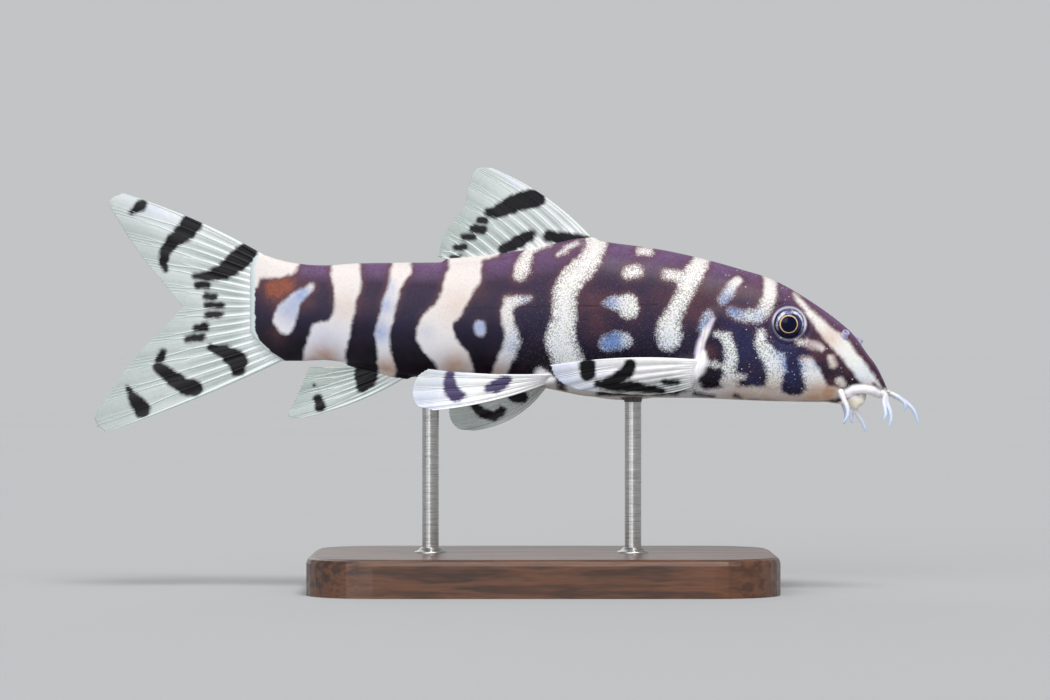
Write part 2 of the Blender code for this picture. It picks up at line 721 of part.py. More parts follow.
def make_stand(collection, parent):
    """A flat base with round corners, and two rods that stand in it and reach the belly."""
    shape = bmesh.new()
    bmesh.ops.create_cube(shape, size=1.0)
    size = Vector((BASE_LENGTH, BASE_WIDTH, BASE_THICKNESS)) * MM
    bmesh.ops.scale(shape, vec=size, verts=shape.verts)
    middle = Vector((BASE_CENTRE, 0, BASE_THICKNESS / 2)) * MM
    bmesh.ops.translate(shape, vec=middle, verts=shape.verts)
    upright = [e for e in shape.edges if abs(e.verts[0].co.z - e.verts[1].co.z) > size.z / 2]
    bmesh.ops.bevel(shape, geom=upright, offset=BASE_CORNER * MM, segments=8, affect="EDGES",
                    profile=0.5)
    rim = [e for e in shape.edges if min(v.co.z for v in e.verts) > 0.9 * size.z]
    bmesh.ops.bevel(shape, geom=rim, offset=BASE_EDGE * MM, segments=2, affect="EDGES",
                    profile=0.5)
    block = bpy.data.meshes.new("base")
    shape.to_mesh(block)
    shape.free()
    holes = [
        cylinder(ROD_RADIUS + GAP, BASE_THICKNESS - ROD_SINK - GAP, BASE_THICKNESS + 1, x)
        for x in ROD_PLACES.values()
    ]
    add_piece("stand_base", combined("stand_base", block, [], holes), "wood", collection, parent)
    for name, x in ROD_PLACES.items():
        belly = LIFT + float(section(x)[1])
        rod = cylinder(ROD_RADIUS, BASE_THICKNESS - ROD_SINK, belly - GAP)
        piece = add_piece(name, rod, "steel", collection, parent)
        piece.location = (x * MM, 0, 0)


def main():
    """Builds the fish and its stand."""
    clear_scene()
    collection = bpy.data.collections.new("Spotted loach")
    bpy.context.scene.collection.children.link(collection)
    fish = bpy.data.objects.new("fish_middle", None)
    stand = bpy.data.objects.new("stand_foot", None)
    for empty in (fish, stand):
        collection.objects.link(empty)
    fish.location = (0, 0, LIFT * MM)
    make_head(collection, fish)
    make_trunk(collection, fish)
    make_eyes(collection, fish)
    make_median_fins(collection, fish)
    make_paired_fins(collection, fish)
    make_barbels(collection, fish)
    make_stand(collection, stand)


main()
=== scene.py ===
"""Spotted loach at life size: the skin, fins, eyes and feelers of the model on its stand.

The fish's own frame is the solids' one: +X to the snout, +Z up to the back, -Y to its right
side, in millimetres, with zero height at the middle of its body. placed() turns it to metres.
"""

import math
from functools import partial, reduce

import bpy
import numpy as np
from mathutils import Euler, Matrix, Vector


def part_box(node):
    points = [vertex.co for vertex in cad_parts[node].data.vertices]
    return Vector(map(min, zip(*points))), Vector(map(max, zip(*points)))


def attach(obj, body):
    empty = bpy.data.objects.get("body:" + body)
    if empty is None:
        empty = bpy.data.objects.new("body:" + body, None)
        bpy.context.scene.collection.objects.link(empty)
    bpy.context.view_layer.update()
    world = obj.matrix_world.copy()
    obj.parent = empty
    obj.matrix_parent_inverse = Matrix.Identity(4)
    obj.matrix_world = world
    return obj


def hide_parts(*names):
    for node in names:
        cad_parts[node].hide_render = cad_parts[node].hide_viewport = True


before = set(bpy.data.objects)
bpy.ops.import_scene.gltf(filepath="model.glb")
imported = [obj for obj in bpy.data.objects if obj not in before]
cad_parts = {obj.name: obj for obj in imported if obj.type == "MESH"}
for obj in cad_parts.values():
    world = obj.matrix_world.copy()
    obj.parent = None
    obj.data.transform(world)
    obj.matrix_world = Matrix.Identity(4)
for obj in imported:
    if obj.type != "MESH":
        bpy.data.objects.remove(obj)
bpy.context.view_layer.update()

bl_info = {
    "name": "Spotted loach",
    "version": (1, 0, 0),
    "blender": (4, 5, 0),
    "location": "3D View > Sidebar > Loach",
    "description": "Makes a life-size spotted loach on a display stand, piece by piece",
    "category": "Add Mesh",
}

MM = 0.001
LIFT = 36.0  # height of the fish's own zero above the floor
BODY = "root"
FAR_SEED = 4

# Upright sections of the body: place along X, back, belly, half width
SECTIONS = np.array(
    (
        (-33.4, 9.15, -5.5, 0.95), (-30.0, 8.0, -5.45, 1.7), (-27.0, 7.45, -5.45, 2.2),
        (-24.0, 7.3, -5.35, 2.6), (-20.0, 7.55, -5.9, 3.1), (-14.0, 7.65, -7.35, 3.8),
        (-7.4, 7.75, -7.75, 4.5), (-0.7, 8.4, -8.05, 5.1), (5.4, 9.45, -9.1, 5.5),
        (11.3, 10.6, -10.2, 5.8), (15.3, 10.15, -10.3, 5.9), (20.6, 9.4, -10.35, 6.0),
        (25.9, 8.25, -10.4, 6.0), (31.3, 6.75, -10.65, 5.75), (35.3, 5.45, -10.8, 5.3),
        (37.9, 4.15, -10.85, 4.9), (40.3, 2.65, -10.9, 4.4), (42.5, 1.15, -10.85, 3.85),
        (44.5, -0.4, -10.4, 3.3), (46.3, -2.1, -9.55, 2.85), (48.0, -4.5, -9.4, 2.4),
        (49.2, -6.15, -9.55, 1.95), (50.1, -7.95, -9.8, 1.35), (50.65, -9.2, -9.75, 0.6),
    )
)
# Place along X, height of the widest point as a share, roundness of the back and of the belly
ROUNDING = np.array(
    (
        (-33.4, 0.5, 2.0, 2.0), (-10.0, 0.48, 2.0, 2.1), (12.0, 0.46, 1.9, 2.3),
        (26.0, 0.43, 2.0, 2.5), (38.0, 0.38, 2.1, 2.6), (50.65, 0.4, 2.0, 2.2),
    )
)
GILL_X = 26.2
GILL_LEAN, GILL_MIDDLE = 1.05, -2.2
GILL_TOP, GILL_BOTTOM = 0.9, -9.4
GILL_REACH = 5.0
TAIL_X, TAIL_REACH = -33.4, 8.4
SNOUT_X = 50.65
# Spans of the skin's rings along X: start, end, and gap between rings
RING_SPANS = (
    (-33.4, -30.0, 0.26), (-30.0, 22.0, 0.5), (22.0, 25.6, 0.25), (25.6, 26.8, 0.08),
    (26.8, 34.9, 0.25), (34.9, 40.9, 0.12), (40.9, 44.0, 0.17), (44.0, 50.3, 0.09),
    (50.3, SNOUT_X, 0.06),
)
HEAD_BEND_START, HEAD_BEND = 12.0, -3.2
TAIL_BEND_START, TAIL_BEND, TAIL_TIP_X = -8.0, 2.0, -55.0

EYE_X, EYE_Z = 37.45, -0.57
EYE_RADIUS, EYE_DEPTH, EYE_SINK = 1.95, 1.3, 0.44
EYE_RINGS, EYE_SIDES = 48, 96
EYE_BULGE, EYE_BULGE_WIDTH = 0.1, 1.1
EYE_PITCH, EYE_YAW = math.radians(12), math.radians(9)
PUPIL_SHIFT = (-0.27, 0.2)  # of the pupil from the middle of the eyeball, along X and Z

# The lips' edges and the mouth, from the corner to the middle: (x, y, z, radius)
UPPER_LIP = (
    (44.8, 1.9, -9.75, 0.4), (46.0, 1.95, -9.25, 0.55), (47.3, 1.8, -9.15, 0.6),
    (48.5, 1.4, -9.35, 0.6), (49.4, 0.75, -9.75, 0.58), (49.7, 0.0, -9.9, 0.56),
)
LOWER_LIP = (
    (44.9, 1.75, -10.0, 0.3), (45.7, 1.5, -10.25, 0.4), (46.9, 0.95, -10.4, 0.48),
    (47.3, 0.0, -10.4, 0.5),
)
MOUTH_LINE = (
    (44.7, 1.85, -9.9, 0), (45.8, 1.8, -9.75, 0), (47.0, 1.55, -9.8, 0), (48.0, 0.95, -10.1, 0),
    (48.3, 0.0, -10.2, 0),
)
PALE_LIP = tuple((*point[:3], 0.55) for point in UPPER_LIP)
PALE_CHIN = ((46.2, 0.5, -10.6), (1.7, 1.5, 1.2))
YELLOW_CHIN = ((46.0, 0.5, -11.0), (1.8, 1.4, 0.9))
JAW_PLACE, JAW_RADII = (45.0, 0.0, -10.1), (2.3, 1.9, 1.1)
CHIN_PLACE, CHIN_RADII = (46.2, 0.7, -10.7), (1.4, 1.0, 1.05)
# Folds of the skin in side view: points (x, z, 0), depth and width
FOLDS = (
    (((38.6, -3.25, 0), (40.3, -3.75, 0), (42.3, -4.5, 0)), 0.09, 0.16),
    (((44.3, -9.0, 0), (43.2, -7.4, 0), (41.9, -6.1, 0)), 0.08, 0.2),
    (((29.0, -8.9, 0), (34.0, -9.3, 0), (39.0, -9.5, 0), (43.2, -9.6, 0)), 0.04, 0.3),
    (((27.9, -1.5, 0), (28.6, -3.4, 0), (28.9, -6.0, 0)), 0.06, 0.3),
)
# Each nostril's side, place (x, z), the way its tube points, and its size
NOSTRILS = {
    "nostril_right": (-1, (44.8, -2.1), (0.42, 0.55, 0.72), 1.05),
    "nostril_left": (1, (46.75, -3.2), (0.5, 0.16, 0.85), 1.15),
}
NOSTRIL_SIDES, NOSTRIL_SINK = 40, 0.15
NOSTRIL_PROFILE = (
    (0, -0.3), (0.72, -0.3), (0.6, 0.02), (0.49, 0.2), (0.45, 0.42), (0.48, 0.58),
    (0.44, 0.68), (0.36, 0.69), (0.3, 0.6), (0.27, 0.35), (0.24, 0.1), (0, 0.06),
)
# Fleshy roots of the paired fins: points (x, z, radius), how far outside the skin, and blend
ARMS = (
    (((26.2, -4.9, 0.5), (25.7, -5.7, 0.7), (24.8, -6.3, 1.0), (23.4, -6.5, 1.05)), -0.3, 1.2),
    (((25.3, -6.3, 0.6), (24.8, -7.2, 0.9), (23.3, -7.9, 0.95)), -0.3, 1.2),
    (((6.6, -8.0, 0.5), (5.6, -7.9, 0.85), (4.9, -7.8, 0.9)), 0.0, 0.9),
)
# The skin's low ridges under the dorsal and the anal fin, along X
DORSAL_FOOT, ANAL_FOOT = (11.6, -7.6), (-13.2, -20.6)
# The search along the skin's normal for its raised forms, which starts outside them
FORM_REACH, SEARCH_START, SEARCH_LIMITS = 1.6, 2.4, (-0.2, 2.6)
SEARCH_STEPS, SEARCH_STEP = 28, 0.9
# How each end of the skin closes: length, rings, and how far it closes in height
SNOUT_END, TAIL_END = (0.42, 7, 1.0), (-0.75, 9, 0.06)
# From where the photo shows the fish: distance from its middle plane, and the point faced
SIGHT = 550.0
SIGHT_X, SIGHT_Z = 2.6, -4.0
VIEW_WIDTH = 0.14  # of the picture at the fish's middle plane, in metres

RODS = ("stand_rod_front", "stand_rod_rear")
TURNED_SIDES = 48
# Turned parts of the stand: (radius, height) as shares of a rod's radius
COLLAR_PROFILE = (
    (0, -0.2), (1.95, -0.2), (1.95, 0.06), (1.9, 0.16), (1.7, 0.22), (1.5, 0.3),
    (1.3, 0.5), (1.22, 0.62), (1.05, 0.64), (0, 0.64),
)
PAD_PROFILE = (
    (0, -0.3), (0.9, -0.3), (1.04, -0.26), (1.08, -0.18), (1.08, 0.05), (1.14, 0.18),
    (1.18, 0.27), (1.16, 0.34), (1.0, 0.4), (0, 0.4),
)

# Lights: the way each comes from, its spread in degrees and its colour
LIGHTS = {
    "key": ((0.12, -0.34, 0.59), 28, (1, 0.985, 0.96)),
    "fill": ((-0.45, -0.95, 0.37), 45, (0.95, 0.97, 1)),
    "back": ((-0.3, 0.8, 0.47), 45, (0.97, 0.98, 1)),
}
SKY_COLOUR = (0.971, 0.984, 1.0)
HORIZON_SPAN = (0.05, 0.6)  # how steeply up the surroundings leave the horizon's brightness

# Strokes of light skin on the shown side: (x, z, half width) of each point
LIGHT_MARKS = {
    "tail base": ((-33.0, 7.3, 1.67), (-31.4, 7.3, 1.67), (-29.8, 7.2, 1.47), (-28.9, 7.1, 1.13),
        (-28.2, 7.5, 0.67)),
    "tail corner": ((-33.8, 5.8, 1.1), (-33.5, 4.7, 0.5)),
    "tail slant": ((-25.9, 4.5, 0.4), (-27.0, 3.6, 0.67), (-28.2, 2.4, 1.0), (-29.1, 1.2, 1.4),
        (-29.4, 0.0, 1.53), (-29.4, -0.8, 1.13)),
    "first bar": ((-21.4, 7.7, 1.8), (-21.3, 6.3, 2.0), (-21.1, 4.8, 1.87), (-21.3, 3.2, 1.53),
        (-21.4, 1.6, 1.33), (-21.8, 0.0, 1.4), (-22.7, -1.9, 2.0), (-23.4, -3.3, 2.27),
        (-23.9, -5.1, 2.67)),
    "first foot": ((-24.5, -1.7, 1.53), (-24.5, -3.1, 2.0), (-24.5, -4.4, 2.4),
        (-24.5, -5.9, 2.4)),
    "second bar": ((-13.8, 8.0, 1.2), (-13.9, 6.9, 1.33), (-14.3, 5.7, 1.13), (-14.9, 4.3, 0.87),
        (-15.3, 2.7, 0.93), (-15.7, 1.1, 0.93), (-16.1, -0.5, 0.93), (-16.5, -2.1, 1.0),
        (-16.3, -3.6, 0.93), (-16.1, -4.9, 0.93), (-15.8, -6.7, 1.2)),
    "third bar": ((-5.7, 8.5, 2.0), (-5.4, 7.3, 2.2), (-5.5, 6.0, 2.27), (-6.2, 4.7, 2.13),
        (-6.7, 3.3, 1.93), (-7.3, 2.0, 1.8), (-8.3, 0.7, 1.8), (-9.5, -0.7, 2.05),
        (-9.75, -1.9, 2.2), (-9.1, -3.1, 2.2), (-7.9, -4.3, 2.13), (-7.0, -5.5, 2.27),
        (-6.6, -6.9, 2.4)),
    "dorsal foot": ((-4.7, 8.1, 0.6), (-2.9, 8.5, 0.43), (-1.1, 8.8, 0.27)),
    "dorsal hook": ((5.7, 10.5, 0.6), (4.3, 10.0, 0.67), (3.1, 9.2, 0.6), (2.7, 8.0, 0.87),
        (2.2, 6.7, 1.13), (1.8, 6.0, 0.8)),
    "dorsal streak": ((9.7, 10.3, 0.24), (8.3, 9.6, 0.4), (7.0, 8.8, 0.29)),
    "side spot": ((-3.5, -0.7, 0.75), (-3.4, -1.5, 0.75)),
    "hook": ((3.1, 2.9, 0.33), (1.9, 2.7, 0.6), (0.6, 2.3, 0.87), (0.1, 1.2, 0.87),
        (0.3, -0.1, 0.8), (0.7, -1.6, 0.87), (0.9, -2.9, 1.07), (0.3, -4.4, 1.07),
        (-0.3, -5.7, 0.93), (-0.9, -7.5, 1.07)),
    "great bar": ((12.2, 10.7, 1.4), (11.9, 9.3, 1.33), (11.3, 8.1, 1.4), (10.3, 6.9, 1.53),
        (9.3, 6.0, 1.6), (8.5, 4.9, 1.67), (7.9, 3.6, 1.6), (7.8, 2.0, 1.6), (7.9, 0.3, 1.67),
        (7.5, -1.3, 1.87), (7.3, -2.7, 2.07), (7.7, -4.0, 2.07), (8.3, -5.3, 2.0),
        (9.3, -7.1, 1.87), (10.3, -9.6, 1.87)),
    "back spot": ((17.9, 9.2, 0.53), (19.1, 9.1, 0.61)),
    "shoulder spot": ((16.5, 6.3, 0.91), (17.5, 6.5, 0.83)),
    "upper spot": ((13.5, 2.3, 0.47), (14.7, 2.3, 0.93), (16.3, 2.1, 1.4), (16.5, 1.5, 1.33)),
    "lower spot": ((13.6, -3.1, 1.13), (14.7, -2.8, 1.33), (15.9, -2.7, 1.0)),
    "shoulder bar": ((26.3, 8.4, 1.07), (25.8, 7.2, 1.2), (24.9, 6.0, 1.33), (24.2, 4.7, 1.33),
        (23.8, 3.3, 1.16), (23.1, 2.0, 1.16), (22.3, 0.7, 1.16), (21.8, -0.7, 1.53),
        (21.8, -2.1, 1.77), (21.8, -2.8, 1.47)),
    "shoulder branch": ((21.4, 6.1, 0.6), (22.6, 5.9, 0.8), (23.8, 5.6, 0.93)),
    "gill spot": ((27.0, 0.7, 0.6), (26.5, -0.4, 0.6), (26.1, -1.3, 0.4)),
    "nape": ((30.9, 5.2, 0.6), (30.1, 4.3, 0.73), (29.5, 3.2, 0.8), (28.9, 2.7, 0.67)),
    "crown hook": ((35.3, 5.6, 0.93), (35.3, 4.0, 0.87), (35.1, 2.7, 0.93), (34.6, 1.5, 1.0),
        (33.5, 0.5, 1.0), (32.2, 0.5, 0.8), (31.0, 0.7, 0.73), (30.1, 1.2, 0.6)),
    "gill cover": ((28.3, -2.0, 0.6), (29.4, -2.4, 0.8), (29.8, -3.5, 0.87), (30.1, -4.7, 0.87),
        (29.9, -5.7, 0.93), (29.7, -6.9, 1.0), (29.8, -8.3, 1.2), (30.2, -9.5, 1.07)),
    "cover step": ((30.6, -7.6, 0.67), (31.7, -7.6, 0.4)),
    "cheek": ((34.1, -1.9, 0.67), (34.2, -3.1, 1.07), (35.0, -4.3, 1.27), (35.9, -5.5, 1.6),
        (36.1, -6.7, 1.4), (35.8, -7.9, 1.13), (35.8, -9.3, 1.2)),
    "lower cheek": ((39.7, -5.5, 0.67), (40.3, -5.8, 0.93), (40.6, -6.8, 1.2), (41.0, -8.0, 1.4),
        (41.5, -9.2, 1.47)),
    "throat": ((29.1, -10.0, 0.8), (31.9, -9.7, 0.93), (34.6, -9.7, 0.93), (37.3, -10.4, 0.67),
        (39.7, -10.1, 0.8), (41.9, -9.9, 1.07), (43.7, -9.7, 0.87), (44.5, -9.5, 0.53)),
    "mouth patch": ((43.3, -5.1, 0.47), (43.7, -5.9, 0.53)),
    "mouth corner": ((44.5, -8.0, 0.53), (44.9, -8.6, 0.48)),
    "snout stripe": ((38.5, 3.4, 0.26), (39.3, 2.5, 0.34), (40.3, 1.2, 0.46), (41.5, -0.1, 0.62),
        (42.7, -1.5, 0.84), (43.9, -2.5, 1.1), (44.9, -3.5, 1.07), (45.9, -4.8, 1.04),
        (46.9, -6.1, 1.09), (47.9, -7.5, 1.04), (49.0, -8.5, 0.73), (49.7, -9.1, 0.4)),
    "eye fold": ((39.1, -2.9, 0.37), (40.1, -3.0, 0.56), (41.3, -3.3, 0.61), (42.2, -3.8, 0.4)),
    "snout tip": ((50.3, -9.5, 0.3), (51.2, -9.6, 0.5)),
    "third waist": ((-8.35, 0.2, 1.4), (-8.4, -1.1, 1.5), (-8.4, -2.4, 1.6)),
    "pelvic foot": ((4.6, -6.9, 0.7), (5.5, -7.9, 0.9), (6.1, -9.1, 0.8)),
    "gill foot": ((23.6, -10.1, 0.5), (26.0, -10.1, 0.72), (28.4, -9.9, 0.8), (29.6, -9.5, 0.8)),
    "blot gap": ((27.0, -5.8, 0.4), (28.2, -6.0, 0.5), (29.2, -6.6, 0.6)),
    "arm foot": ((24.2, -8.6, 0.9), (25.2, -8.8, 0.8), (25.8, -9.5, 0.65)),
    "breast": ((12.1, -11.1, 0.8), (17.9, -11.1, 0.93), (24.6, -11.1, 1.07), (31.3, -11.2, 1.2)),
}
DARK_MARKS = {
    "gill blot": ((27.9, -3.1, 0.84), (28.1, -4.0, 1.05), (28.3, -4.7, 0.86)),
    "breast blot": ((27.1, -8.5, 0.67), (27.8, -7.8, 0.95), (28.3, -7.0, 0.66)),
    "cheek blot": ((38.1, -7.9, 1.11), (38.2, -8.7, 1.4), (38.7, -9.1, 1.07)),
    "under eye": ((35.1, -2.5, 0.43), (36.6, -3.8, 0.48), (38.2, -4.4, 0.48), (40.1, -4.3, 0.35)),
    "breast fleck": ((25.2, -9.8, 0.3), (26.6, -10.1, 0.31), (27.7, -10.2, 0.2)),
    "throat fleck": ((30.6, -10.1, 0.27), (31.5, -10.5, 0.21)),
    "snout fleck": ((49.2, -8.7, 0.24), (49.6, -9.1, 0.3)),
}
# The lilac edge of the gill cover, and the white flesh at the roots of the paired fins
GILL_STREAK = ((27.7, 0.2, 0.2), (26.9, -1.2, 0.42), (26.1, -2.9, 0.5), (25.8, -4.4, 0.55),
               (26.0, -5.4, 0.6))
FIN_ROOTS = (
    ((26.2, -4.5, 0.5), (26.2, -5.5, 0.8), (25.5, -6.4, 1.15),
     (24.3, -7.0, 1.6), (22.8, -7.3, 1.8)),
    ((6.3, -7.9, 0.2), (5.2, -7.9, 0.5), (4.2, -7.8, 0.6)),
)
# Soft washes of colour: (x, z, radius, strength)
BLUE_WASHES = (
    (-28.6, 1.5, 2.2, 0.6), (-27.0, 3.6, 1.2, 0.7), (-24.3, -2.5, 3.0, 0.22),
    (-16.1, 2.0, 1.5, 0.6), (-16.8, -1.6, 1.5, 0.75), (-15.6, 4.5, 1.0, 0.4),
    (-10.6, -1.6, 1.2, 0.25), (-3.4, -1.0, 1.6, 0.8), (3.0, 2.6, 1.2, 0.45),
    (1.1, -3.3, 1.6, 0.4), (13.9, 2.3, 1.4, 0.75), (13.6, -3.2, 1.7, 1.0), (15.0, -2.9, 1.4, 0.5),
    (14.4, -1.9, 0.9, 0.5), (21.6, -3.2, 1.6, 0.2), (26.6, 0.4, 1.4, 0.55),
    (26.2, -1.3, 1.1, 0.6), (29.2, 2.9, 1.6, 0.75), (30.6, 1.0, 1.4, 0.85), (33.6, 0.4, 1.2, 0.5),
    (38.0, -5.9, 1.1, 1.3), (36.6, -4.4, 1.0, 0.5), (40.7, -3.1, 1.4, 0.26),
    (39.4, -6.2, 0.7, 0.5), (41.6, -6.0, 0.9, 0.4), (48.3, -6.8, 1.6, 0.15),
)
WARM_WASHES = (
    (-24.2, -5.3, 2.2, 1.0), (-15.8, -6.6, 1.7, 0.9), (-6.6, -6.4, 2.2, 0.9),
    (4.8, -8.3, 1.5, 0.35), (-6.4, 2.2, 2.4, 0.3), (-0.8, -7.0, 1.6, 0.6),
    (-21.4, 1.8, 1.8, 0.32), (27.3, -4.4, 0.9, 0.9), (31.0, -10.4, 2.6, 0.7),
    (36.0, -10.6, 2.6, 0.7), (41.0, -10.3, 2.2, 0.9), (43.4, -9.7, 1.4, 0.9),
    (39.6, -4.7, 0.9, 0.7), (40.9, -3.1, 1.5, 0.85), (43.6, -2.2, 1.4, 0.5),
    (43.7, -5.7, 1.1, 0.75), (45.0, -8.3, 1.0, 0.35), (49.2, -8.8, 0.9, 0.5),
)
# Above 1 the red-brown turns to orange
RUST_WASHES = (
    (-30.6, 4.7, 1.8, 1.8), (-28.8, 4.8, 1.6, 1.3), (-30.9, 2.8, 1.8, 0.7), (11.6, 2.5, 2.0, 0.9),
    (12.2, -0.8, 1.9, 0.6), (26.4, 3.8, 2.1, 0.7), (25.2, 1.0, 1.7, 0.7), (20.6, 3.0, 1.6, 0.6),
    (32.6, 3.7, 2.2, 0.7), (17.2, 0.3, 1.7, 0.3), (-19.2, 1.9, 1.6, 0.4), (-3.4, 3.4, 1.5, 0.4),
    (27.4, -4.6, 1.0, 0.7), (26.9, -3.9, 0.7, 0.5), (-30.3, -1.7, 1.3, 0.6),
    (-26.3, 2.4, 1.3, 0.6), (33.0, -7.0, 2.0, 0.25), (43.0, -4.4, 1.8, 0.6),
    (45.6, -6.6, 1.6, 0.5), (43.6, -8.4, 1.0, 0.7), (41.0, -4.7, 0.9, 0.8),
    (-22.9, 7.0, 1.0, 0.4),
)

